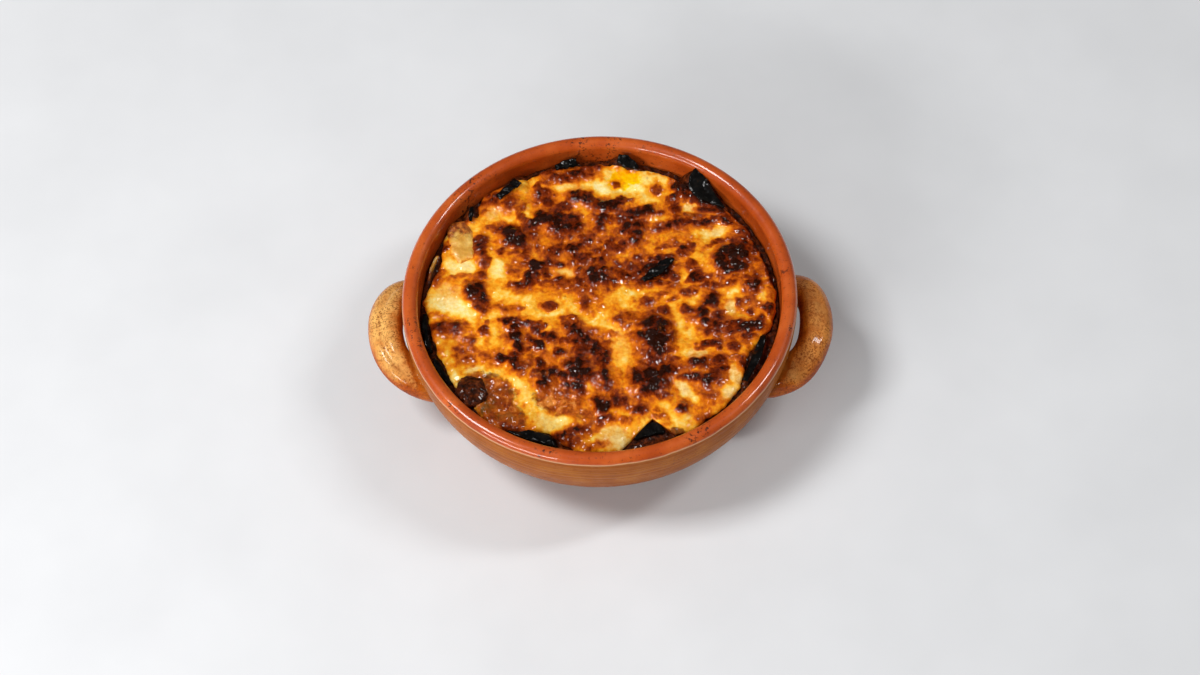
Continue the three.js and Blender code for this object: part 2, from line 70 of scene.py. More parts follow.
# Handles
HANDLE_ROOT = 64
HANDLE_SIDES = 44
HANDLE_STEPS = 84
HANDLE_SQUARENESS = 0.5
HANDLE_LOW = 23
HANDLE_HIGH = 34
HANDLE_LEAN = 20
HANDLE_END = 88
HANDLE_TAIL = (-6, 0, -1.5)
HANDLE_DENT = 0.12
HANDLE_FLARE = 0.22
HANDLE_FLARE_POWER = 6
GROOVE_SHARE = 0.2
HANDLES = [
    {"side": -1, "azimuth": 3.4, "reach": 19.1, "spread": 19.9, "width": 14.2, "thick": 9.6, "groove": 1.1,
     "near_squareness": 0.68, "near_taper": 0.22},
    {"side": 1, "azimuth": -6.5, "reach": 19.5, "spread": 19.6, "width": 13, "thick": 10, "groove": 0.35,
     "near_squareness": 0.56, "near_taper": 0.06},
]

# The crease round the handles' feet: distances off the wall, half width, heights, smoothing passes
JOINT_OFF = (0.05, 1.4)
JOINT_HALF_WIDTH = 32
JOINT_HEIGHTS = (8, 38)
JOINT_PASSES = 6

# The handles' own look: how far off the wall it starts, over what distance it comes in, and its top
HANDLE_LOOK_OFF = 0.3
HANDLE_LOOK_OVER = 2.2
HANDLE_LOOK_TOP = 44

# A handle's crown faces up and outwards, and these are their shares in it; its cream is partly painted
# highlight
CROWN_UP = 0.85
CROWN_OUT = 0.35

# Glaze, by height: where it ends below the lip, the darker honey low down, the band under the lip
GLAZE_LINE = 47.7
HONEY_LOW = (4, 40)
UNDER_LIP = (41.5, 46.5)

# The right handle is the browner one: it has this share of the crowns' cream and painted highlight, from
# the second X outwards
BROWNER_FROM = (60, 80)
BROWNER_SHARE = 0.42

# Meat sauce
MEAT_LEVEL = 38
MEAT_AT_WALL = 40
MEAT_ROUNDING = 1.4
MEAT_SEGMENTS = 720
MEAT_WALL_ROWS = 10
MEAT_TOP_ROWS = 42
MEAT_FLAT_RADIUS = 50
MEAT_LUMPS = [(0.55, 3.6, 61), (0.4, 1.9, 62), (0.2, 1, 63)]
WALL_GAP = 0.4

# How far inside the cheese's edge the meat starts to sink, and over what distance it does
MEAT_TUCK = 0.8
MEAT_TUCK_OVER = 1.5

# Cheese
CHEESE_BASE = 38.4
CHEESE_LEVEL = 42.5
CHEESE_RADIUS = 66
CHEESE_LIMIT = 68.9
CHEESE_CELLS = 288
CHEESE_UNDERCUT = 0.985
CHEESE_SIDE_ROWS = 5
CHEESE_SIDE_BROWN = 0.62
BLISTER_RISE = 1.2
BLISTER_SOFTNESS = 1.25
SPOT_RISE = 0.45
DOME_RISE = 2.4
MINCE_RELIEF = [(0.5, 2.8, 41), (0.25, 1.4, 42)]
BRIM_RAGGED = [(0.7, 6, 41), (0.4, 2.4, 42)]

# Swells and dents of the cheese's edge: azimuth, half width, amount
EDGE_SWELLS = [
    (0, 18, 2), (27, 8, 1), (52, 18, -0.8), (76, 12, -1), (103, 9, 1.4), (127, 11, 2.8),
    (137.5, 3.5, -2.6), (150, 8, 2.4), (163, 8, -1.4), (177, 7, 2.2), (200, 18, -1), (218, 6, -2.6),
    (230, 9, 2.2), (248.5, 13, -5), (334, 17, -4.4),
]

# The straight-sided notch at the near edge: start, tip and end
NOTCH = ((5, -66), (18, -53), (27, -60.5))
NOTCH_REACH = 14
NOTCH_RAGGED = 0.15

# The cheese falls off at its rim, from this share of the way out; less so in the notch
RIM_FROM = 0.955
RIM_WIDTH = 0.045
RIM_FALL = 1.9
RIM_STEEPNESS = 0.98
NOTCH_SPARES = 0.75

# Large blisters: x, y, half length, half width, turn, height
BLISTERS = [
    (-16, 36.9, 11, 5, -20, 1.3), (-33, 31.2, 6, 4, -20, 1), (-45, 26.8, 6, 3.5, 85, 0.8),
    (-49, 5.7, 6, 4.5, 80, 0.9), (-25, 13.2, 5.5, 5, 50, 1), (-6, 48.7, 6, 4, -25, 1),
    (-33, 46.6, 6, 5, 0, 1.1), (-58, -10.3, 6, 4, -10, 0.9), (-32, -16.8, 5.5, 3, 85, 0.9),
    (-32, -29.2, 4, 3.5, 0, 0.8), (-22, -34.4, 5.5, 3.5, 80, 1.1), (-9, -31.7, 6.5, 6.5, 0, 1.5),
    (0, -47.3, 4.5, 4.5, 0, 1), (0, -34.2, 5, 4, 80, 0.8), (-11, -12.2, 6, 4, 70, 0.8),
    (6, 44.7, 7, 3.5, 5, 0.9), (20, 40.8, 5, 3.5, 0, 0.8), (14.5, 31.6, 6.5, 4, 100, 1.1),
    (36, 34.9, 6, 4, -10, 0.7), (51.5, 15.5, 9, 8, 60, 1.9), (59, 4.7, 4.5, 4.5, 0, 1),
    (1, 12.7, 4.5, 4.5, 0, 0.9), (20.5, -17, 9.5, 7.5, 95, 1.9), (17, -37.2, 8, 6.5, 20, 1.5),
    (41, -5.4, 7, 4, 45, 1.1), (51, -13.8, 11, 5, 0, 1), (35, -30.3, 5, 4, 0, 0.9),
    (41, -37.3, 5.5, 4, 20, 0.9), (28.5, -49.7, 4, 4, 0, 0.8), (8, -10.1, 4, 4, 0, 0.7),
    (34.2, 50, 4.2, 3.6, 0, 1.8),
]

# Slow waves of the cheese: rise, and the lengths along x and y that make one radian
CHEESE_WAVES = [(0.35, 8, 7), (0.25, 4.5, 5.5)]

# Hollows where pale sauce shows between the blisters: x, y, radius, depth
HOLLOWS = [
    (12, 55, 9, 0.9), (-12, 14, 5, 0.7), (37, 43, 5, 0.8), (46, 30, 7, 0.7), (-58, 4, 8, 0.7),
    (-38, -42, 9, 1.3), (-18, -43, 8, 0.6), (31, -40, 6, 0.7), (32, -15, 6, 0.7), (23, 14, 7, 0.9),
]

# Fine relief of the cheese: rise, size, seed
FINE_RELIEF = [(0.3, 5.2, 11), (0.12, 2.7, 12), (0.08, 1.35, 13)]

# Crinkles of the charred spots: rise, size and seed of their folds, and how dark a spot has them
CHAR_CRINKLE = 0.42
CHAR_FOLDS = [(1.7, 51), (1.7 * 2.2, 52)]
CHAR_FROM = 0.6
CHAR_OVER = 0.3

# Spots and zones are placed as the camera sees them at this level; a higher point is seen farther back
SEEN_LEVEL = 42
SEEN_SLOPE = 0.637

# Browned spots: x, y, half length, half width, turn, darkness
SPOTS = [
    # beside the large black corner
    (34.2, 52.4, 3.7, 3.3, 0, 1.05), (41.5, 45.4, 5, 1.8, -28, 0.78), (49, 40, 3.4, 2, -50, 0.8),
    # far left
    (-13, 38, 7.6, 4.2, -8, 0.95), (-21.5, 41, 3.6, 3, -30, 0.88), (-26.5, 37, 3.6, 2.2, 30, 0.82),
    (-33, 33.5, 5, 3.4, -30, 0.88), (-38, 35.6, 2.6, 1.8, 0, 0.78), (-32, 29.6, 4.4, 2.8, 0, 0.87),
    (-28, 27, 2.6, 1.9, -30, 0.8), (-41.4, 37, 2, 1.8, 0, 0.72), (-46, 30.6, 2.8, 2.5, 0, 0.78),
    (-45.6, 26.4, 3.4, 2.5, 80, 0.8), (-44, 21, 3.4, 1.6, 90, 0.7), (-44.6, 15.5, 2.6, 1.8, 90, 0.68),
    (-37.8, 25.4, 1.3, 1.4, 0, 0.85), (-47.6, 6.4, 4.6, 3.4, 100, 0.9), (-47.6, 9.6, 3.4, 1.3, 0, 0.76),
    (-45, 0.8, 2.2, 3.6, 0, 0.78), (-54, 14.6, 3.4, 1.1, 8, 0.48), (-63.4, 19, 1.4, 4, 6, 0.66),
    (-62.6, 13, 1.6, 3, 0, 0.6), (-64.5, 26.6, 2, 2.2, 0, 0.92), (-60, 28.4, 3, 1.8, 20, 0.74),
    (-63.5, 23, 1.1, 2, 0, 0.84), (-55, 38.4, 2.2, 1.6, 0, 0.58), (-52.4, 40.4, 2.8, 1.5, 20, 0.62),
    (-24, 18, 3.5, 2.7, 0, 0.94), (-26, 13.6, 3.2, 2.2, 30, 0.9), (-28.5, 9.8, 3.6, 1.7, 10, 0.82),
    (-20.5, 14, 1.9, 1.7, 0, 0.76), (-32.8, 9, 2.4, 1.2, 0, 0.58), (-14, 9.8, 6, 1.6, -4, 0.72),
    (-20, 9.4, 3, 1.2, 0, 0.66), (-9, 25.4, 2.6, 1.9, 10, 0.84), (-14.6, 25.4, 2.4, 1.8, 0, 0.72),
    (-17.6, 22, 2.2, 1.5, 0, 0.68), (-6, 20.6, 2.6, 1.8, 0, 0.72), (-4, 29, 3, 1.6, -20, 0.68),
    (-12, 31, 3, 1.4, 0, 0.66), (-16.4, 18.6, 2.6, 1.7, 0, 0.74), (-3, 23, 2, 1.6, 0, 0.7),
    (-9.4, 20, 2.2, 1.4, 0, 0.6), (-24.6, 31.4, 2, 1.6, 0, 0.66), (-20.3, 51.8, 3.2, 3.4, 0, 0.84),
    (-22.6, 55.6, 2.2, 1.6, 60, 0.68), (-18.5, 47.4, 2.2, 1.7, 0, 0.72), (-12.4, 45.6, 2.8, 2.3, 0, 0.82),
    (-16.4, 43.8, 2.4, 1.1, -10, 0.66), (-7, 50.6, 3.4, 2.3, -20, 0.88), (-3, 48.2, 2.7, 2.5, -40, 0.86),
    (-7.5, 61.4, 5, 1.8, 6, 0.8), (-3, 63.6, 4, 1.4, 10, 0.78), (-14, 60.4, 4, 1.5, 12, 0.72),
    (-12, 66.4, 5, 1.6, 6, 0.9), (-4, 66.5, 4, 1.2, 0, 0.85), (-17, 63.6, 4, 1.2, 12, 0.74),
    (-17.6, 57.8, 3.4, 1.1, 5, 0.6), (-34, 48.4, 2, 3, 10, 0.68), (-29.6, 45.6, 2.4, 1.5, 0, 0.56),
    (-27.4, 40, 3.6, 1.1, -30, 0.7), (-41, 51, 3, 2.4, 80, 0.74), (-39, 57, 3, 1.5, 40, 0.68),
    (-33, 24.6, 1.7, 1.3, 0, 0.62), (-28.6, 23.4, 1.7, 1.9, 0, 0.66), (-6.6, 12.6, 2.8, 3.2, 0, 0.76),
    (-0.8, 13.2, 4.4, 3.8, 90, 0.93), (-1, 19.4, 2, 1.5, 0, 0.7), (-19.5, -0.8, 2.5, 2.2, 0, 0.68),
    (-5.6, -0.6, 1.7, 3.4, 0, 0.64), (-35, -1.6, 3, 1.4, 0, 0.58), (-30.6, -2.4, 1.5, 1.1, 0, 0.5),
    (-32.5, 16, 2.2, 1.8, 0, 0.52),
    # far right
    (4.4, 44.6, 3.5, 2.9, 20, 0.88), (9.5, 47.3, 4.2, 1.7, 8, 0.86), (14, 47.6, 1.5, 1.1, 0, 0.68),
    (0.6, 45.8, 2.3, 2.2, 0, 0.78), (8.4, 55, 1.1, 1.3, 0, 0.68), (24, 51.8, 2.3, 2.2, 0, 0.66),
    (19.4, 42, 3.5, 2.3, 5, 0.93), (14.6, 40.4, 2.5, 1.9, 0, 0.84), (24.4, 41.2, 2.2, 1.1, -20, 0.74),
    (13, 36, 3, 2.7, 0, 0.9), (10, 38.8, 2, 1.5, 0, 0.78), (16.6, 36, 1.5, 1.5, 0, 0.82),
    (15.3, 30, 2.7, 3.3, 0, 0.92), (12.4, 32.6, 2, 1.5, 0, 0.8), (9.4, 34, 2, 1.5, 0, 0.7),
    (2.2, 38.6, 2.3, 3.1, 0, 0.84), (1, 34, 2, 1.7, 0, 0.7), (9, 42, 1.5, 1.5, 0, 0.76),
    (30.5, 46.6, 2.9, 2.8, 0, 0.78), (31, 42.6, 2.7, 1.7, 0, 0.72), (34.6, 48.8, 3, 1.1, -10, 0.72),
    (43, 41.6, 2.6, 1.4, -10, 0.82), (43.4, 46.4, 4, 1.9, -35, 0.78), (48, 42.6, 2.5, 1.3, -40, 0.8),
    (40, 38.2, 2.3, 1.1, 0, 0.7), (24, 33, 3, 1, 10, 0.72), (29.6, 35.4, 3, 1.7, 15, 0.82),
    (35.5, 36.5, 3.3, 1.7, -5, 0.82), (41.4, 35.6, 3, 1.3, -5, 0.8), (47, 36.6, 3, 1.1, 0, 0.78),
    (51.4, 34.6, 2, 1.3, -30, 0.78), (33, 39.6, 2, 1.3, 0, 0.64), (33.4, 22, 2.7, 2.5, 0, 0.86),
    (36.8, 23.8, 1.5, 1.9, 0, 0.74), (30.6, 25, 2.6, 1, 10, 0.7), (26, 24.6, 2.4, 1, 20, 0.64),
    (36.4, 16.6, 2.4, 1.5, -30, 0.7), (52, 18.2, 7.6, 6.6, 10, 0.97), (50.6, 13.4, 3.8, 2.3, 0, 0.9),
    (57.4, 22, 2.3, 2.9, 0, 0.86), (47.6, 26, 4, 0.8, 22, 0.7), (59.3, 6, 2.8, 3, 0, 0.92),
    (54.6, 39.4, 4.4, 1.6, -52, 0.9), (59, 34, 4.4, 2.2, -58, 0.92), (62.5, 27, 4.4, 2.4, -70, 0.9),
    (64.6, 19.4, 4.4, 1.7, -80, 0.9), (65.8, 10, 5, 1.1, -86, 0.86), (58, 29, 2.5, 2.1, 0, 0.78),
    (60.6, 22.6, 2.3, 3, 0, 0.8), (38, 10, 2.9, 2.3, 30, 0.84), (35.4, 8.2, 2, 1.3, 0, 0.72),
    (36.6, 13.2, 2, 1.3, 20, 0.66), (19, 15.6, 4.6, 2.3, 30, 0.86), (26, 13, 3, 3.3, 0, 0.84),
    (13.5, 14, 3, 2.3, 0, 0.74), (16.6, 20.6, 2.6, 1.2, 10, 0.74), (24, 19, 3.6, 1.5, 0, 0.82),
    (29, 9.8, 2, 1.5, 0, 0.7), (11.6, 10.4, 2.6, 1.2, 0, 0.7), (9, 12.6, 2.3, 1.9, 0, 0.72),
    (17, 8.6, 3, 1.9, 0, 0.78), (24, 7.6, 3.6, 1.4, -8, 0.72), (5.6, 25.6, 4, 2.3, 10, 0.72),
    (2.4, 29, 2.3, 1.6, 0, 0.68), (9.6, 28, 2, 1.4, 0, 0.62), (4, 9, 3, 1.5, 0, 0.78),
    (17.5, -0.6, 2.1, 1.8, 0, 0.66), (24, 2.6, 2, 0.9, 0, 0.56), (28.6, 0.4, 1.8, 1.3, 0, 0.6),
    (33, 2.6, 2.3, 1.3, 0, 0.62), (36.6, 3.8, 2.5, 1.3, 0, 0.66), (41.6, 5.6, 2.5, 1.7, 0, 0.68),
    (46, 5.4, 2.3, 1.3, 0, 0.62), (50.6, 7, 2.5, 1.3, 0, 0.6), (54.4, 9.4, 2.3, 1.2, 0, 0.64),
    (42, 9, 1.5, 1.9, 0, 0.62), (44.6, 1, 1.6, 1.3, 0, 0.74),
    # near left
    (-58, -9.2, 5.4, 2.5, -4, 0.8), (-63.6, -8.2, 2.1, 1.7, 0, 0.66), (-50, -15.6, 2, 1.5, 0, 0.68),
    (-44.8, -10.6, 1.4, 2.2, 0, 0.74), (-43.4, -7.6, 1, 1, 0, 0.6), (-53.6, -23, 1.5, 2.4, 0, 0.5),
    (-34.8, -7, 2.9, 1.5, 4, 0.88), (-28.5, -8.6, 4, 1, 0, 0.76), (-22.6, -10.2, 2.5, 1, 10, 0.74),
    (-32.6, -13.4, 2.3, 3.7, 10, 0.97), (-31.4, -18.4, 1.9, 2.7, 10, 0.96),
    (-33, -25.6, 2.1, 3.8, 8, 0.88), (-38, -23.6, 2.4, 1.6, -10, 0.88), (-36.6, -14, 1.3, 1.5, 0, 0.6),
    (-25, -12.2, 1.6, 1.6, 0, 0.82), (-24, -17.8, 2.3, 1.7, -15, 0.92), (-20, -14.8, 2.9, 1.8, 0, 0.86),
    (-27.6, -15, 1.1, 2.5, 0, 0.7), (-16.4, -21.6, 1.9, 1.7, 0, 0.9), (-23.2, -26, 1.5, 2.1, 0, 0.8),
    (-22.4, -31.4, 2.5, 3.3, 0, 0.95), (-22.6, -36.2, 2.1, 2.1, 0, 0.92), (-8, -22, 2.4, 2, 0, 0.74),
    (-13, -17, 1.7, 1.5, 0, 0.74), (-9.8, -29.6, 4.7, 4.4, 0, 0.9), (-17.6, -31, 2.5, 1.9, 0, 0.8),
    (-14.6, -33.4, 2.3, 1.7, 0, 0.78), (-13, -36.8, 2.7, 1.7, -20, 0.9), (-9.2, -38.2, 2.3, 2.9, 0, 0.86),
    (-11.6, -8.6, 3.1, 2.9, 0, 0.78), (-9.5, -13, 3.5, 2.9, -40, 0.86),
    (-5.6, -17.5, 3.3, 2.7, -50, 0.84), (-2, -22, 3.1, 2.5, -60, 0.86), (0.3, -26.6, 2.9, 2.1, 90, 0.84),
    (0.4, -32, 3.1, 2.3, 90, 0.9), (2, -37, 2.5, 1.5, 90, 0.82), (-4.6, -32, 1.5, 2.3, 0, 0.8),
    (-0.4, -46.4, 2.9, 2.5, 100, 0.97), (0, -51, 2.3, 1.3, 0, 0.78), (-3, -43.6, 1.5, 1.3, 0, 0.8),
    (-36.6, -44.6, 1.8, 1.4, 0, 0.78), (-12, -57.4, 4.8, 1.4, 22, 0.84), (-17, -59.4, 3.5, 1.3, 8, 0.8),
    (-36, -54, 4.6, 1.3, -24, 0.74), (-16.5, -45.5, 1.4, 2.4, 20, 0.5),
    # near right
    (8.2, -7.6, 3.3, 2.5, 0, 0.68), (9.6, -11.6, 1.9, 1.7, 0, 0.56), (20.5, -12, 5.3, 4.5, 0, 0.96),
    (21.5, -17.4, 5.1, 4.3, 0, 0.96), (22.5, -22.4, 3.5, 2.9, 0, 0.9), (16, -15.8, 2.3, 1.9, 0, 0.9),
    (24.6, -5.4, 2.3, 1.8, 0, 0.78), (19.6, -26.4, 3.3, 1.7, 0, 0.76), (26, -27, 1.9, 1.5, 0, 0.72),
    (33.3, -4.8, 2.1, 1.9, 0, 0.78), (42.5, -2, 2.9, 2.5, 60, 0.92), (38.8, -6.6, 2.9, 2.1, 45, 0.92),
    (41.5, -11.4, 3.3, 2.1, 0, 0.84), (46.5, -13.5, 3.3, 2.7, 0, 0.82), (45, -8.5, 1.9, 1.7, 0, 0.76),
    (40.6, -15.4, 2.5, 1.5, 0, 0.72), (50.6, -15.4, 2.3, 1.9, 0, 0.76), (52.5, -12, 2.3, 1.5, 0, 0.8),
    (57.5, -14.3, 4.5, 2.3, 0, 0.92), (55.6, -17.8, 2.5, 1.3, 0, 0.8), (61.5, -11, 1.7, 1.9, 0, 0.76),
    (54.4, -2.6, 2.3, 1.9, 0, 0.74), (57.4, -6.6, 1.9, 1.3, 0, 0.66), (64.4, -6, 1.4, 3, 0, 0.84),
    (60, -9.4, 1.5, 1.1, 0, 0.58), (41, -20.8, 4.3, 1.5, 0, 0.82), (44.6, -22.6, 1.9, 1.2, 0, 0.76),
    (49.3, -22.4, 1.9, 1.8, 0, 0.76), (37.6, -22.8, 1.3, 0.9, 0, 0.64), (54.6, -20.4, 1.2, 1.2, 0, 0.58),
    (51, -26.6, 2.1, 0.9, 0, 0.58), (35.8, -28.4, 3.1, 1.4, 0, 0.86), (34.3, -30.4, 1.3, 1.1, 0, 0.76),
    (44.5, -28.8, 2.7, 2.1, 40, 0.8), (45.6, -32, 1.7, 1.5, 0, 0.78), (42, -33.6, 2.3, 1.5, 20, 0.82),
    (40, -36.2, 2.5, 1.9, 20, 0.9), (34, -35.2, 2.7, 1.4, -10, 0.9), (54.2, -29.4, 2.3, 2.1, 0, 0.8),
    (57, -26.6, 1.5, 1.5, 0, 0.72), (17.5, -34, 5.5, 2.9, 0, 0.95), (18.5, -38, 5.3, 3.1, 0, 0.93),
    (13, -35.6, 1.9, 2.5, 0, 0.88), (24.5, -31.6, 3.1, 1.9, -10, 0.86), (16.4, -41.6, 3, 1.5, 0, 0.74),
    (22, -42.4, 2.7, 1.7, -20, 0.7), (12.3, -31.4, 1.9, 1.3, 30, 0.74), (29.2, -49.3, 2.2, 2, 0, 0.84),
    (13.6, -49, 2.5, 1.3, -8, 0.8), (5.4, -44.4, 3.1, 2.5, -30, 0.78), (9, -47.6, 1.7, 1.2, 0, 0.64),
    (3.6, -41, 1.7, 1.5, 0, 0.7), (20.6, -52.2, 1.4, 1, 0, 0.54), (36.5, -52.6, 2.9, 1.5, 20, 0.54),
    (40, -43.4, 2.5, 1.9, 0, 0.58), (38.6, -39.6, 1.9, 1.2, 0, 0.64), (3.4, -14.6, 2.2, 1.4, 0, 0.46),
    (2.4, -18.5, 1.3, 1.3, 0, 0.54), (8, -53.4, 2.1, 1.5, 0, 0.54),
]

# Spots: how far and how softly they spread, how domed and haloed they are, and how they run together
SPOT_SPREAD = 0.5
SPOT_EDGE = 0.25
SPOT_EDGE_SHARE = 0.22
SPOT_DOME = 0.12
SPOT_MERGE = 4
SPOT_HALO = 2
SPOT_HALO_SHARE = 0.3
SPOT_OVER_BROWN = 0.15

# Noise that bends the outlines of spots and patches: rise, size, seed
SPOT_WARP = [(0.7, 4.5, 21), (0.6, 2.4, 23)]
SPOT_RAGGED = [(0.6, 3.6, 26), (0.35, 1.9, 27)]
WARP_ASIDE = 300

# Freckles: spacing, radius, seed; how much they brown, and the level from which they come in
FRECKLES = (4.2, 1.3, 5)
FRECKLE_RISE = 0.22
FRECKLE_FROM = 0.15
FRECKLE_GAIN = 2.5

# Bubbles of the browned cheese: rise, spacing, radius, seed
BROWN_BUBBLES = [(0.24, 4.2, 2.5, 61), (0.12, 2.1, 1.2, 62)]
BUBBLE_MEAN = 0.6

# Broad parts that are browner than the rest, or paler below 0: x, y, half length, half width, turn, amount
ZONES = [
    (-17, -9, 11, 7, 0, -0.22), (38, -22, 10, 7, 0, -0.16), (15, -41, 8, 7, 0, -0.15),
    (35, 9, 6, 5, 0, -0.22), (13, 50, 9, 6, 0, -0.17), (-28, 44, 6, 4, 0, -0.24),
    (-45, 25, 5, 6, 0, -0.18), (-45, 8, 5, 5, 0, -0.14), (15, -17, 5, 5, 0, -0.15),
    (-2, 5, 9, 9, 0, 0.19), (-47, 45, 6, 5, 45, 0.34), (-14, 36, 10, 5, 0, 0.18), (5, 22, 8, 8, 0, 0.16),
    (18, 36, 6, 5, 0, 0.14), (-60, -1, 7, 4, 0, 0.19), (-48, -23, 11, 7, 0, 0.15),
    (-28, -18, 5, 5, 0, 0.13), (60, 0, 6, 10, 0, 0.17), (55, 31, 5, 9, 20, 0.12),
    (-6, -62, 9, 3, 0, 0.24), (-2, -37, 8, 7, 0, 0.13), (-18, 17, 6, 5, 0, 0.14),
    (-63, -17, 4, 5, 0, 0.2), (27, -9, 5, 5, 0, -0.14), (-42, -36, 8, 5, 0, 0.1),
    (-45, 35, 4, 5, 0, -0.1), (9, 63, 9, 4, 0, 0.08), (36, 28, 6, 4, 0, 0.1), (-10, 21, 13, 13, 0, 0.3),
    (-30, 31, 14, 7, -15, 0.24), (6, 38, 14, 10, 0, 0.22), (18, 14, 14, 8, 10, 0.3),
    (36, 38, 17, 6, 0, 0.24), (42, 46, 10, 5, -35, 0.26), (58, 22, 8, 16, 20, 0.28),
    (22, 29, 16, 5, 0, 0.14), (42, 8, 16, 8, 0, 0.18), (-31, 18, 5, 5, 0, 0.2), (-47, 6, 6, 8, 0, 0.2),
    (-45, 24, 4, 10, 0, 0.18), (-18, 48, 12, 8, 0, 0.2), (-10, 61, 14, 4, 6, 0.3),
    (-40, 54, 8, 6, 40, 0.26), (-6, -18, 9, 15, 30, 0.26), (-22, -12, 14, 7, 0, 0.18),
    (-26, -26, 9, 9, 0, 0.24), (-11, -34, 11, 8, 0, 0.26), (20, -17, 10, 13, 0, 0.32),
    (19, -36, 12, 9, 0, 0.3), (44, -12, 16, 8, 0, 0.26), (40, -32, 12, 9, 0, 0.24),
    (56, -24, 7, 8, 0, 0.12), (48, -22, 8, 5, 0, 0.16), (10, -45, 12, 5, -10, 0.22),
    (0, -53, 6, 5, 0, 0.2), (-12, -58, 12, 4, 15, 0.26), (38, -45, 9, 6, 0, 0.16),
    (-58, -9, 8, 5, 0, 0.18), (-52, -20, 8, 9, 0, 0.1), (-36, -1, 8, 3, 0, 0.14),
    (-63, 17, 4, 9, 5, 0.06), (60, 4, 5, 6, 0, 0.16), (18, 0, 8, 4, 0, 0.1), (-33, 47, 8, 6, 0, 0.16),
    (-14, 7, 20, 3.5, 0, 0.14), (12, 25, 6, 3, 0, 0.14), (4, 19, 4, 4, 0, 0.14),
    (-10, -46, 7, 6, 0, 0.14),
]
ZONE_SOFTNESS = 1.3

# How browned the cheese is on the whole, the least and the most, and its mottle: rise, size, seed
BAKED_LEVEL = 0.225
BAKED_LEAST = 0.02
BAKED_MOST = 1.05
BAKED_MOTTLE = [(0.1, 8.5, 31), (0.12, 3.6, 32), (0.09, 1.7, 33)]
BROWN_MOTTLE = [(0.06, 3.1, 35), (0.04, 1.5, 36)]

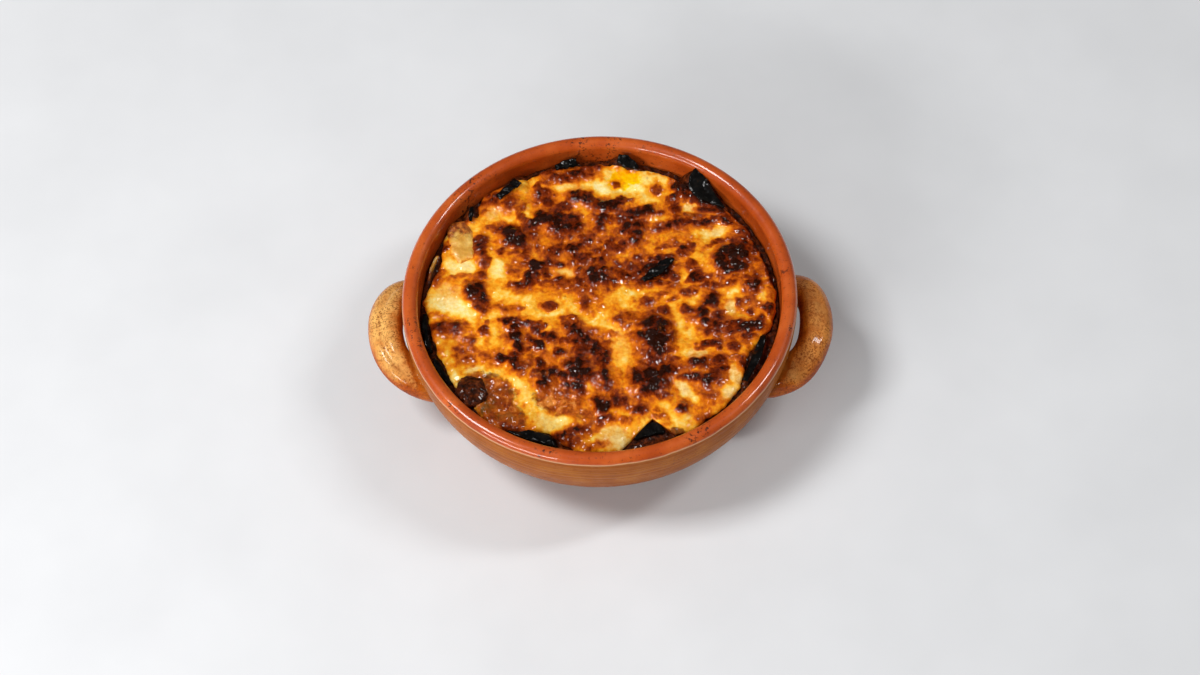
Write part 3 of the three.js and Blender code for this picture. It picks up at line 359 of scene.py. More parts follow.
# Pale patches: x, y, half length, half width, turn, how browned they are
PALES = [
    # far left
    (-57, 0.5, 8, 4.4, -10, 0.05), (-63, 5, 2.4, 5.6, 10, 0.12), (-55, 8.4, 2.8, 3.4, 0, 0.22),
    (-52.5, 18, 5.8, 3.2, 0, 0.04), (-58, 20.6, 2.6, 1.5, -30, 0.08), (-39.6, 17, 3.2, 4.8, 10, 0.07),
    (-40, 7, 2.3, 4.6, 0, 0.16), (-41.6, 28.6, 1.3, 3.6, 10, 0.24), (-40, 32.4, 1.3, 1.2, 0, 0.16),
    (-34.6, 39.8, 4, 1.6, -6, 0.08), (-28.6, 43, 2.6, 2.4, 0, 0.26), (-28, 51.4, 2.8, 2.5, 0, 0.3),
    (-45, 39, 2.8, 3.8, 30, 0.2), (-41, 44, 2.4, 2.8, 0, 0.2), (-5, 41, 1.4, 3.4, 15, 0.22),
    (-2.4, 36.6, 1.5, 2.4, 0, 0.26), (-12, 54.2, 7, 1.8, -8, 0.05), (-24, 57.2, 3.6, 1.1, -18, 0.12),
    (3, 54, 4.8, 2.9, -10, 0.03), (-19.6, 29.6, 3.1, 2.5, 0, 0.3), (-24, 23, 1.7, 2.5, 0, 0.28),
    (-13, 14.6, 3.8, 1.9, -6, 0.05), (-18, 14, 1.5, 1.5, 0, 0.2), (-24, 3.2, 7, 1.8, 0, 0.24),
    (-33.5, 2.6, 3, 1.8, 0, 0.2), (-11, 1.4, 2.6, 1.8, 0, 0.28), (-27.6, -2, 3, 2.8, 0, 0.16),
    (-40, -4.6, 3.2, 2.4, 0, 0.1), (-10.4, 42.4, 2, 1.5, 0, 0.3), (-34, 19.6, 2, 1, 0, 0.24),
    # far right
    (14, 51.2, 7.6, 2.2, -6, 0.04), (12, 57, 4.8, 3.8, 0, 0.17), (5, 61, 3.8, 2.8, -40, 0.12),
    (20, 57, 3.8, 2.5, -20, 0.1), (27, 56, 2.3, 1.9, 0, 0.12), (20, 47.6, 4.4, 1.6, -14, 0.1),
    (27.4, 48, 1.6, 1.9, 0, 0.16), (37, 43, 2.8, 2.4, 0, 0), (25, 37.8, 3.7, 1.8, 0, 0.18),
    (47.5, 30.4, 5.8, 2.3, 16, 0.05), (42, 26.6, 2.5, 1.3, 0, 0.14), (43.6, 22, 1.7, 3.8, -30, 0.14),
    (40, 17.4, 1.7, 2.9, -10, 0.16), (41.6, 12.8, 1.3, 2.1, 0, 0.22), (33, 11, 1.7, 2.7, 0, 0.16),
    (46, 38.8, 3.1, 1, -12, 0.2), (24, 29.6, 4.8, 1.5, 0, 0.26), (31, 30, 3, 1.5, 0, 0.26),
    (20, 24, 2.1, 1.1, 0, 0.26), (9.4, 20.6, 2.2, 1.5, 0, 0.28), (62.6, 0.4, 1.7, 3.8, 0, 0.06),
    (64.4, 9, 0.8, 4.8, 0, 0.2), (51.6, 2.4, 2.9, 1.5, 30, 0.05), (47.6, 3, 1.8, 1.6, 0, 0.1),
    (9, 3, 3.8, 3.4, 30, 0.2), (4, 0, 2.8, 2.8, 0, 0.26), (20, 4.6, 3.2, 1.5, 0, 0.22),
    (36, 0.5, 2.8, 1.3, 0, 0.2), (26.6, -0.8, 1.7, 1.3, 0, 0.2),
    # near left
    (-49, -3, 2.8, 2.8, 0, 0.06), (-61, -14.6, 1.9, 2.2, 0, 0.2), (-56.6, -15, 2.2, 1.5, 0, 0.18),
    (-58.6, -21, 1.3, 2.9, 20, 0.1), (-48.4, -28.4, 2.5, 1.6, 20, 0.06), (-46, -16, 1.7, 3.2, 0, 0.12),
    (-41, -11, 1.7, 3.4, 0, 0.14), (-40, -17.6, 1.9, 1.9, 0, 0.2), (-53, -27.4, 1.8, 1.8, 0, 0.18),
    (-20.6, -18.7, 2.3, 0.9, -40, 0.05), (-18.6, -20.5, 1.1, 1.7, 0, 0.12),
    (-12.8, -17.5, 0.9, 2.1, 0, 0.3), (-38.5, -31, 4.2, 1.7, -30, 0.16),
    (-32.5, -34.6, 3.3, 2.1, -55, 0.1), (-28, -40.5, 1.9, 4.4, 15, 0.16), (-25.8, -47, 1.9, 3.3, 10, 0.2),
    (-19.5, -53, 4.8, 2.6, 10, 0.14), (-16, -51.6, 2.5, 1.1, 0, 0.04), (-17, -55.4, 2.8, 0.9, 8, 0.06),
    (-5.3, -38.2, 1.4, 1.9, 0, 0.16), (-17, -6.6, 4.2, 1.5, 6, 0.16), (-8.5, -6, 3.3, 2.2, -30, 0.1),
    (-3, -9.5, 4.2, 1.9, -35, 0.14), (-29, -5, 2.4, 1.3, 0, 0.2),
    # near right
    (2.4, -7.6, 2.1, 3.8, 10, 0.2), (7.5, -20, 2.9, 6.4, 8, 0.24), (8.5, -27.5, 2.7, 2.7, 0, 0.2),
    (5, -26, 1.9, 2.9, 0, 0.24), (30.5, -12, 1.6, 3.8, 8, 0.14), (34.5, -15.5, 1.7, 5.6, 4, 0.1),
    (32.5, -20.4, 2.5, 2.1, 0, 0.16), (28.4, -26.8, 1.5, 1.5, 0, 0.2), (36, -24.9, 3.8, 1.4, 4, 0.06),
    (50, -4.6, 1.9, 3.4, -10, 0.02), (52.5, -8.8, 2.8, 1.2, 0, 0.12), (57, -9.8, 1.8, 1, 0, 0.2),
    (49.6, -34.6, 1.6, 3.6, 14, 0.03), (46, -25, 3.2, 0.9, -5, 0.2), (53.5, -24, 1.9, 2.5, 0, 0.26),
    (52.6, -18.6, 1.9, 1.2, 0, 0.24), (30, -40.2, 1.8, 4.4, 32, 0.03), (34, -44.5, 1.6, 2.9, 25, 0.08),
    (22, -46.2, 3.8, 1.3, -38, 0.1), (27.2, -52, 2.1, 5.2, 30, 0.1), (32, -56, 2.7, 2.3, 0, 0.18),
    (46.5, -42.6, 3.5, 1.8, 42, 0.04), (42.5, -49, 3.8, 1.7, 32, 0.24), (5.5, -61.5, 2.9, 3.2, 0, 0.06),
    (1.5, -57, 2.4, 2.4, 0, 0.16), (9, -50.6, 2.4, 1.3, -30, 0.14), (3.6, -48.8, 1.4, 1.1, 0, 0.2),
    (11.5, -55.5, 1.8, 1.5, 0, 0.2), (-4, -60.5, 2.8, 1.5, 10, 0.14), (6, -36.5, 1.5, 3.6, 0, 0.32),
]
PALE_EDGE = 1.8
PALE_RAGGED = -1.1

# Where meat sauce shows through the cheese: x, y, half length, half width, turn, amount
SAUCE = [
    (-43, -38, 12, 7.5, -28, 1), (-39, -47, 12, 6.5, -42, 1), (-36, -54, 8, 4, -30, 0.95),
    (-48, -34, 7, 4, 0, 0.8), (-17.5, -43, 9.5, 6.8, -10, 0.9), (-24, -31, 4, 3, 0, 0.35),
    (-8, -50, 5, 4, 0, 0.5), (24, -60, 8, 3, 10, 0.8), (-27, -25, 3, 6, 15, 0.3),
]

# Where the meat is pinker, in the same way
PINK = [
    (-17, -43.5, 8, 5.5, -8, 1), (-35, -46, 5, 3, 0, 0.6), (-8, -49, 5, 4, 0, 0.6),
    (-39, -34, 5, 3, 0, 0.3),
]
SHOWN_SOFTNESS = 1.25

# Milky and golden patches: x, y, half length, half width, turn, how much stronger the colour is
TONES = [
    (37, 43, 3.4, 2.8, 0, -0.5), (47, 31, 6.4, 2.8, 16, -0.35), (3, -60, 7, 6, 0, -0.4),
    (30, -40, 2.6, 5.4, 32, -0.45), (49.6, -34.6, 2.6, 4.6, 14, -0.6), (-10, 55, 9, 2.6, -8, -0.25),
    (50, -4.6, 3, 4.4, -10, -0.5), (36, -25, 5, 2.4, 4, -0.55), (46.5, -42.6, 5, 2.8, 42, -0.35),
    (-48.4, -28.4, 3.4, 2.4, 20, -0.4), (-52.5, 18, 6.6, 4, 0, -0.2), (-13, 14.6, 4.6, 2.6, -6, -0.35),
    (-41, 44, 4, 4.4, 0, -0.35), (-9.5, -30, 6, 6, 0, -0.5), (40, -36, 4, 3, 0, -0.4),
    (46, -14, 7, 4, 0, -0.35), (52, 17, 9, 8, 0, -0.5), (20.5, -15, 6, 8, 0, -0.4),
    (-14, 38, 9, 5, -8, -0.4), (12, 57, 7, 5, 0, 0.3), (-58, 6, 7, 6, 0, -0.35), (7, -20, 5, 12, 8, -0.2),
    (-22, -52, 6, 4, 0, -0.25), (-30, -39, 3.4, 6, 15, -0.2),
]
TONE_SOFTNESS = 1.15

# Skins and slices: thickness, wave, and stations of x, y, z, width and how far the left edge stands up
SHEETS = {
    "skin_top_left": (1.1, 0.25, [
        (-38.6, 50.2, 43.9, 2.6, 0.2), (-34.2, 53.4, 45, 3.7, -0.4), (-30.4, 56.2, 46.1, 5, -0.7)]),
    "skin_small_left": (0.9, 0.15, [
        (-48.9, 45.6, 44.2, 1.3, 0), (-49.2, 42.3, 44.6, 2.1, 0.3), (-49.5, 39, 44.2, 1.2, 0)]),
    "skin_top": (1.4, 0.2, [
        (-15.6, 63.9, 43.5, 2, 0.2), (-11, 65, 44.2, 3.4, 0.6), (-7, 65.6, 44.4, 2.6, 0.8)]),
    "skin_top_small": (1.1, 0.15, [
        (9.4, 65.6, 46, 2.8, 0.8), (12.8, 64.3, 45.2, 4.2, 1.4), (17.6, 62.2, 43.7, 1.5, 0.2)]),
    "skin_corner": (1.2, 0.2, [
        (39.4, 57.2, 48, 1, 0.1), (39.8, 54.4, 47.1, 5.4, 0.2), (40.8, 51, 46, 8.2, 0.3),
        (43, 48, 45, 7.6, 0.3), (46.4, 44.8, 44.2, 3.8, 0.2), (50.4, 41.4, 43.6, 1.2, 0.1)]),
    "skin_right": (1, 0.25, [
        (61.6, -18.6, 42.7, 2.2, 0.3), (58.6, -27, 42.3, 3.8, 0.8), (53.4, -37.6, 41.7, 2.2, 0.3)]),
    "skin_notch": (1, 0.1, [
        (11.2, -60.6, 40.6, 1, 0.1), (15, -58.2, 41.1, 3.8, 0.3), (18.4, -56.8, 41.4, 5.6, 0.3),
        (22.4, -58.4, 40.9, 1.2, 0.1)]),
    "skin_bottom_left": (1.6, 0.4, [
        (-36.6, -56.4, 41.8, 1.2, 0), (-31, -57.6, 42.2, 3, -0.2), (-26.4, -58.8, 42.8, 5, -0.3),
        (-21.6, -60.8, 42.6, 4.4, -0.3), (-17.8, -63.2, 41.4, 1.4, 0)]),
    "skin_left_upper": (1, 0.25, [
        (-67.2, -2.2, 41.7, 1.6, -0.2), (-67, -9, 42, 2.4, -0.5), (-65.8, -16, 41.7, 2.4, -0.5),
        (-64.6, -19.8, 41.3, 1.4, -0.2)]),
    "skin_left_lower": (1, 0.2, [
        (-63.6, -22.4, 41.6, 1.8, -0.2), (-61.4, -27.6, 41.8, 3, -0.5), (-57.4, -34.4, 41.3, 1.6, -0.2)]),
    "skin_centre": (1.3, 0.3, [
        (17, 8.6, 43.1, 1.8, 0), (21, 11.2, 43.6, 4.4, -0.4), (25.2, 14.8, 43.8, 4.8, -0.4),
        (29, 18.2, 43.3, 2, 0)]),
    "aubergine_slice": (1.2, 0.15, [
        (-50.8, 21.2, 42.4, 6.4, 0), (-52.4, 25, 42.7, 9.4, 0.1), (-53, 30.5, 42.9, 10.6, 0.2),
        (-54, 36, 43, 9.4, 0.1), (-54.4, 40.2, 42.8, 5.6, 0)]),
    "slice_edge": (1, 0.15, [
        (-62.4, 24.8, 42, 1.1, 0), (-64.7, 18.8, 42, 1.5, -0.2), (-65.9, 13.2, 41.6, 1.1, 0)]),
}
FLESH_SHEETS = ("aubergine_slice", "slice_edge")
SHEET_LENGTHS = 60
SHEET_WIDTHS = 18
SHEET_WAVES = 2.5
SHEET_SEED = 100
SHEET_RELIEF = [(0.22, 2.6, 0), (0.06, 1.1, 20)]

# Uneven edge of a sheet: lobes along it, how far apart its sides are in the noise, strength, thinness
EDGE_LOBES = 7
EDGE_SIDES_APART = 7
EDGE_RAGGED = 0.45
EDGE_LEAST = 0.04

# The flesh sinks at its rim and is toasted from this share of its length on
RIM_SINKS = 0.8
TOAST_FROM = 0.35

# The food that is heaped up under the sheets
HEAP_MARGIN = 1.6
HEAP_REACH = 1.6
HEAP_FALL = 2
HEAP_STEPS = 8

# Lump of minced meat
MEAT_LUMP = {"at": (-49.2, -38.4, 42.1), "size": (5.3, 6.5, 3.4), "turn": 14}
LUMP_SWELL = 0.07
LUMP_RIPPLE = 0.05
LUMP_KNOBS = [(0.1, 2.4, 71), (0.07, 1.2, 72)]

# Soft boxes: direction from the dish, then distance, width and depth in metres, and power in watts
LIGHTS = {
    "left_box": ((-0.5, -0.05, 0.86), 1.2, 0.28, 0.4, 8.7),
    "right_box": ((0.6, 0.1, 0.8), 1.3, 0.12, 0.4, 4.2),
    "low_box": ((-0.58, -0.7, 0.42), 1.2, 0.7, 0.14, 7.5),
}
ROOM_LIGHT = 0.12

# Ground under the dish: half a side, and how far it lies below the foot
GROUND_HALF = 3000
GROUND_DROP = 0.2


def ink(red, green, blue):
    """A screen colour, 0 to 255, as the linear RGBA that shaders take."""
    def straight(value):
        value /= 255
        return value / 12.92 if value <= 0.04045 else ((value + 0.055) / 1.055) ** 2.4
    return (straight(red), straight(green), straight(blue), 1.0)


def noise(x, y, size, seed):
    """Smooth noise from about -1 to 1, with lumps of about that size."""
    tile = 256
    angle = np.random.default_rng(seed).uniform(0, 2 * math.pi, (tile, tile))
    u, v = x / size, y / size
    i, j = np.floor(u).astype(int), np.floor(v).astype(int)
    fu, fv = u - i, v - j

    def corner(di, dj):
        turn = angle[(i + di) % tile, (j + dj) % tile]
        return np.cos(turn) * (fu - di) + np.sin(turn) * (fv - dj)

    su = fu ** 3 * (fu * (6 * fu - 15) + 10)
    sv = fv ** 3 * (fv * (6 * fv - 15) + 10)
    low = corner(0, 0) * (1 - su) + corner(1, 0) * su
    high = corner(0, 1) * (1 - su) + corner(1, 1) * su
    return 1.5 * (low * (1 - sv) + high * sv)


def layered(x, y, layers):
    """The sum of noise layers, each a rise, a size and a seed."""
    return sum(rise * noise(x, y, size, seed) for rise, size, seed in layers)


def bump(distance):
    """A soft bump, 1 at its middle and 0 from its rim outwards."""
    inside = np.maximum(0, 1 - distance * distance)
    return inside * inside * (3 - 2 * inside)


def oval_distance(x, y, oval):
    """How far points lie from an oval's middle, 1 on its rim. An oval starts x, y, half sizes, turn."""
    ox, oy, along, across, turn = oval[:5]
    c, s = math.cos(math.radians(turn)), math.sin(math.radians(turn))
    u = ((x - ox) * c + (y - oy) * s) / along
    v = ((y - oy) * c - (x - ox) * s) / across
    return np.hypot(u, v)


def make_object(name, points, faces, material, masks=None):
    """A smooth closed mesh from points in millimetres, with one number a point for each mask."""
    mesh = bpy.data.meshes.new(name)
    mesh.from_pydata((np.asarray(points, float) * MM).tolist(), [], faces)
    shape = bmesh.new()
    shape.from_mesh(mesh)
    bmesh.ops.recalc_face_normals(shape, faces=shape.faces)
    shape.to_mesh(mesh)
    shape.free()
    for mask, values in (masks or {}).items():
        add_mask(mesh, mask, values)
    mesh.shade_smooth()
    mesh.materials.append(material)
    made = bpy.data.objects.new(name, mesh)
    bpy.context.scene.collection.objects.link(made)
    return made


def add_mask(mesh, name, values):
    """Gives each point of a mesh a number that its material reads by name."""
    layer = mesh.attributes.new(name, "FLOAT", "POINT")
    layer.data.foreach_set("value", np.asarray(values, np.float32))


def net_faces(at):
    """Four-sided faces of an open net, from the numbers of its points in rows."""
    return np.stack([at[:-1, :-1], at[:-1, 1:], at[1:, 1:], at[1:, :-1]], -1).reshape(-1, 4)


def net_edge(at):
    """The numbers of a net's outermost points, once round."""
    return np.concatenate([at[0, :-1], at[:-1, -1], at[-1, :0:-1], at[:0:-1, 0]])


def band_faces(loop, next_loop):
    """Four-sided faces between two closed loops of points."""
    return np.stack([loop, np.roll(loop, -1), np.roll(next_loop, -1), next_loop], -1).tolist()


def tube_faces(at):
    """Four-sided faces of a tube, from the numbers of its points with one closed loop a row."""
    faces = []
    for loop, next_loop in zip(at[:-1], at[1:]):
        faces += band_faces(loop, next_loop)
    return faces


def fan_faces(loop, middle):
    """Triangles between a closed loop of points and the point in its middle."""
    return np.stack([loop, np.roll(loop, -1), np.full(len(loop), middle)], -1).tolist()


def stand_for(piece, node):
    """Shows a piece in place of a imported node."""
    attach(piece, "root")
    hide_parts(node)


# Dish


def wall_radius(z, inset):
    """Radius of the dish's wall at height z, set in from its outer face."""
    drop = np.maximum(0, BELLY_TOP - z)
    arc = BELLY_ARC - inset
    return OUTER_RADIUS - BELLY_ARC + np.sqrt(arc * arc - drop * drop)


def on_circle(x, y, radius, turn):
    """The point of a circle at an angle in radians."""
    return (x + radius * math.cos(turn), y + radius * math.sin(turn))


def dish_profile():
    """Radius and height along the outline: foot, outer wall, over the lip, inner wall and floor."""
    foot = wall_radius(0, 0)
    points = [(foot * k / FOOT_ROWS, 0) for k in range(FOOT_ROWS)]
    for k in range(FOOT_ROUND_ROWS):
        turn = math.radians(-90 + FOOT_ROUND_TURN * k / (FOOT_ROUND_ROWS - 1))
        points.append(on_circle(foot - FOOT_ROUND_INSET, FOOT_ROUND, FOOT_ROUND, turn))
    for z in np.linspace(WALL_FROM, BELLY_TOP, WALL_ROWS):
        points.append((float(wall_radius(z, 0)), float(z)))
    for k in range(LIP_ROWS):
        turn = math.pi * k / (LIP_ROWS - 1)
        points.append(on_circle(*LIP_CENTRE, LIP_RADIUS, turn))
    for z in np.linspace(BELLY_TOP, FLOOR, INSIDE_ROWS):
        points.append((float(wall_radius(z, WALL)), float(z)))
    inner_floor = wall_radius(FLOOR, WALL)
    points += [(inner_floor * (1 - k / FLOOR_ROWS), FLOOR) for k in range(1, FLOOR_ROWS)]
    return points


def bowl_mesh():
    """Points and faces of the bowl: the profile spun round, with a hand-thrown wobble."""
    profile = dish_profile()
    azimuths = np.linspace(0, 2 * math.pi, DISH_SEGMENTS, endpoint=False)
    points = [(0, 0, 0), (0, 0, FLOOR)]
    for radius, z in profile[1:]:
        wobble = OUT_OF_ROUND * np.sin(2 * azimuths + 0.6) * min(1, z / WOBBLE_FULL_AT)
        r = radius + wobble
        height = np.full_like(r, z)
        if z > BELLY_TOP:
            height = z + LIP_DIP * (np.sin(3 * azimuths + 1) - 1)
        points += list(zip(r * np.cos(azimuths), r * np.sin(azimuths), height))
    rows = len(profile) - 1
    faces = tube_faces(2 + np.arange(rows * DISH_SEGMENTS).reshape(rows, DISH_SEGMENTS))
    last = 2 + (rows - 1) * DISH_SEGMENTS
    for k in range(DISH_SEGMENTS):
        following = (k + 1) % DISH_SEGMENTS
        faces.append((0, 2 + following, 2 + k))
        faces.append((1, last + k, last + following))
    return points, faces


def handle_point(handle, angle):
    """A point of a handle's middle line; the angle runs from -90 to 90 degrees, in radians."""
    squareness = handle["near_squareness"] if angle < 0 else HANDLE_SQUARENESS
    out = max(0, math.cos(angle)) ** squareness
    return Vector((
        HANDLE_ROOT + handle["reach"] * out,
        handle["spread"] * math.sin(angle),
        HANDLE_LOW + (HANDLE_HIGH - HANDLE_LOW) * out,
    ))


def handle_ring(handle, angle):
    """One ring of a handle's strap: an oval with a groove along its top, wider at the feet."""
    step = 0.002
    middle = handle_point(handle, angle)
    along = (handle_point(handle, angle + step) - handle_point(handle, angle - step)).normalized()
    across = along.cross(Vector((0, 0, 1))).normalized()
    up = across.cross(along)
    lean = Matrix.Rotation(math.radians(HANDLE_LEAN), 3, along)
    across, up = lean @ across, lean @ up
    flare = 1 + HANDLE_FLARE * abs(math.sin(angle)) ** HANDLE_FLARE_POWER
    taper = 1 - handle["near_taper"] * max(0, -math.sin(angle)) ** 2
    ring = []
    for k in range(HANDLE_SIDES):
        turn = 2 * math.pi * k / HANDLE_SIDES
        wide, high = math.cos(turn), math.sin(turn)
        groove = handle["groove"] * math.exp(-((wide / GROOVE_SHARE) ** 2)) * math.cos(angle) ** 0.5
        drop = groove if high > 0 else 0
        dent = HANDLE_DENT * math.sin(5 * angle + 2 * turn + handle["side"])
        ring.append(
            middle
            + across * (wide * flare * taper * handle["width"] / 2 + dent * wide)
            + up * (high * flare * handle["thick"] / 2 - drop + dent * high)
        )
    return ring


def handle_mesh(handle):
    """Points and faces of one handle, its tails sunk into the wall."""
    angles = [math.radians(HANDLE_END * (2 * k / HANDLE_STEPS - 1)) for k in range(HANDLE_STEPS + 1)]
    rings = [handle_ring(handle, angle) for angle in angles]
    tail = Vector(HANDLE_TAIL)
    rings.insert(0, [p + tail for p in rings[0]])
    rings.append([p + tail for p in rings[-1]])
    turn = math.radians(handle["azimuth"]) + (math.pi if handle["side"] < 0 else 0)
    spin = Matrix.Rotation(turn, 3, "Z")
    points = []
    for ring in rings:
        for p in ring:
            points.append(spin @ Vector((p.x, p.y * handle["side"], p.z)))
    at = np.arange(len(points)).reshape(len(rings), HANDLE_SIDES)
    return points, tube_faces(at) + [at[0].tolist(), at[-1].tolist()]


def fuse_into(base, others):
    """Fuses other objects into the base object."""
    for other in others:
        fuse = base.modifiers.new("fuse", "BOOLEAN")
        fuse.operation = "UNION"
        fuse.solver = "EXACT"
        fuse.object = other
    graph = bpy.context.evaluated_depsgraph_get()
    mesh = bpy.data.meshes.new_from_object(base.evaluated_get(graph))
    base.modifiers.clear()
    base.data = mesh
    for other in others:
        bpy.data.objects.remove(other)


def soften_joints(mesh):
    """Rounds the crease where the handles meet the wall."""
    shape = bmesh.new()
    shape.from_mesh(mesh)
    near = []
    for v in shape.verts:
        x, y, z = v.co / MM
        off = math.hypot(x, y) - float(wall_radius(z, 0))
        beside_wall = JOINT_OFF[0] < off < JOINT_OFF[1]
        if beside_wall and abs(y) < JOINT_HALF_WIDTH and JOINT_HEIGHTS[0] < z < JOINT_HEIGHTS[1]:
            near.append(v)
    for _ in range(JOINT_PASSES):
        bmesh.ops.smooth_vert(
            shape, verts=near, factor=0.5, use_axis_x=True, use_axis_y=True, use_axis_z=True
        )
    shape.to_mesh(mesh)
    shape.free()


def dish_masks(mesh):
    """Marks the outside, the handles and the crowns of the handles."""
    count = len(mesh.vertices)
    co = np.empty(count * 3)
    normal = np.empty(count * 3)
    mesh.vertices.foreach_get("co", co)
    mesh.vertex_normals.foreach_get("vector", normal)
    x, y, z = co.reshape(-1, 3).T / MM
    nx, ny, nz = normal.reshape(-1, 3).T
    r = np.hypot(x, y)
    outside = r > wall_radius(np.clip(z, 0, BELLY_TOP), WALL / 2)
    outside |= z < FLOOR / 2
    off = r - wall_radius(z, 0)
    handle = np.clip((off - HANDLE_LOOK_OFF) / HANDLE_LOOK_OVER, 0, 1) * (z < HANDLE_LOOK_TOP)
    outward = (nx * x + ny * y) / np.maximum(r, 1)
    crown = np.clip(CROWN_UP * nz + CROWN_OUT * outward, 0, 1) * handle
    return {"outside": outside, "handle": handle, "crown": crown}


def make_dish():
    """The bowl with its two handles, as one piece."""
    material = clay_material()
    dish = make_object("dish_clay", *bowl_mesh(), material)
    fuse_into(dish, [make_object("handle", *handle_mesh(handle), material) for handle in HANDLES])
    soften_joints(dish.data)
    dish.data.shade_smooth()
    for mask, values in dish_masks(dish.data).items():
        add_mask(dish.data, mask, values)
    stand_for(dish, "dish")


# Food


def edge_radius(azimuth):
    """Radius of the cheese's edge at azimuths in radians, with its swells, notch and ragged brim."""
    degrees = np.degrees(azimuth) % 360
    radius = np.full_like(degrees, float(CHEESE_RADIUS))
    for at, half, amount in EDGE_SWELLS:
        away = np.abs((degrees - at + 180) % 360 - 180) / half
        radius += np.where(away < 1, amount * np.cos(np.minimum(away, 1) * math.pi / 2) ** 2, 0)
    ragged = layered(radius * np.cos(azimuth), radius * np.sin(azimuth), BRIM_RAGGED)
    bearings = [math.degrees(math.atan2(y, x)) % 360 for x, y in NOTCH]
    for k in (0, 1):
        (ax, ay), (bx, by) = NOTCH[k], NOTCH[k + 1]
        across = ax * (by - ay) - ay * (bx - ax)
        line = across / (np.cos(azimuth) * (by - ay) - np.sin(azimuth) * (bx - ax))
        here = (degrees >= bearings[k]) & (degrees <= bearings[k + 1])
        radius = np.where(here, np.minimum(radius, line), radius)
        ragged = np.where(here, NOTCH_RAGGED * ragged, ragged)
    return np.minimum(radius + ragged, CHEESE_LIMIT)


def sheet_line(stations, share):
    """Point, width and lean along a sheet's stations, at shares from 0 to 1."""
    knots = np.array(stations, float)
    padded = np.vstack([2 * knots[0] - knots[1], knots, 2 * knots[-1] - knots[-2]])
    place = np.asarray(share) * (len(knots) - 1)
    k = np.clip(np.floor(place).astype(int), 0, len(knots) - 2)
    t = (place - k)[:, None]
    a, b, c, d = padded[k], padded[k + 1], padded[k + 2], padded[k + 3]
    curve = 2 * b + (c - a) * t + (2 * a - 5 * b + 4 * c - d) * t ** 2
    spline = 0.5 * (curve + (3 * b - a - 3 * c + d) * t ** 3)
    rest = b[:, 3:] * (1 - t) + c[:, 3:] * t
    return spline[:, :3], rest[:, 0], rest[:, 1]


def heap_height(x, y):
    """Height of the food that is heaped up under the sheets, and -1 where there is none."""
    height = np.full_like(x, -1.0)
    for thick, _, stations in SHEETS.values():
        points, widths, leans = sheet_line(stations, np.linspace(0, 1, HEAP_STEPS + 1))
        for (px, py, pz), width, lean in zip(points, widths, leans):
            away = np.hypot(x - px, y - py) / (width / 2 + HEAP_MARGIN)
            top = pz - abs(lean) - thick / 2
            height = np.maximum(height, np.where(away < HEAP_REACH, top - HEAP_FALL * away ** 2, -1))
    return height


def bubbles(x, y, spacing, radius, seed):
    """Round bubbles of uneven size strewn over a plane: 1 in a bubble's middle and 0 between them."""
    tile = 96
    shift_x, shift_y, size = np.random.default_rng(seed).uniform(0.1, 0.9, (3, tile, tile))
    i, j = np.floor(x / spacing).astype(int), np.floor(y / spacing).astype(int)
    most = np.zeros_like(x)
    for di in (-1, 0, 1):
        for dj in (-1, 0, 1):
            a, b = (i + di) % tile, (j + dj) % tile
            away_x = x - (i + di + shift_x[a, b]) * spacing
            away_y = y - (j + dj + shift_y[a, b]) * spacing
            away = (away_x ** 2 + away_y ** 2) / (radius * (0.5 + size[a, b])) ** 2
            most = np.maximum(most, 1 - away)
    return most


def warped(x, y):
    """The same points pushed about a little, so that what is round gets an uneven outline."""
    return x + layered(x, y, SPOT_WARP), y + layered(x + WARP_ASIDE, y, SPOT_WARP)


def domes(x, y):
    """How far the bubbles rise above the cheese around them, about 0 on average."""
    wx, wy = warped(x, y)
    return sum(rise * (np.sqrt(bubbles(wx, wy, *size)) - BUBBLE_MEAN) for rise, *size in BROWN_BUBBLES)


def within(x, y, oval, edge, ragged):
    """How much a point is inside an oval, 0 to 1 over its soft edge, and how far outside it lies."""
    off = (oval_distance(x, y, oval) - 1) * min(oval[2], oval[3]) + ragged
    share = np.clip(0.5 - off / (2 * edge), 0, 1)
    return share * share * (3 - 2 * share), off


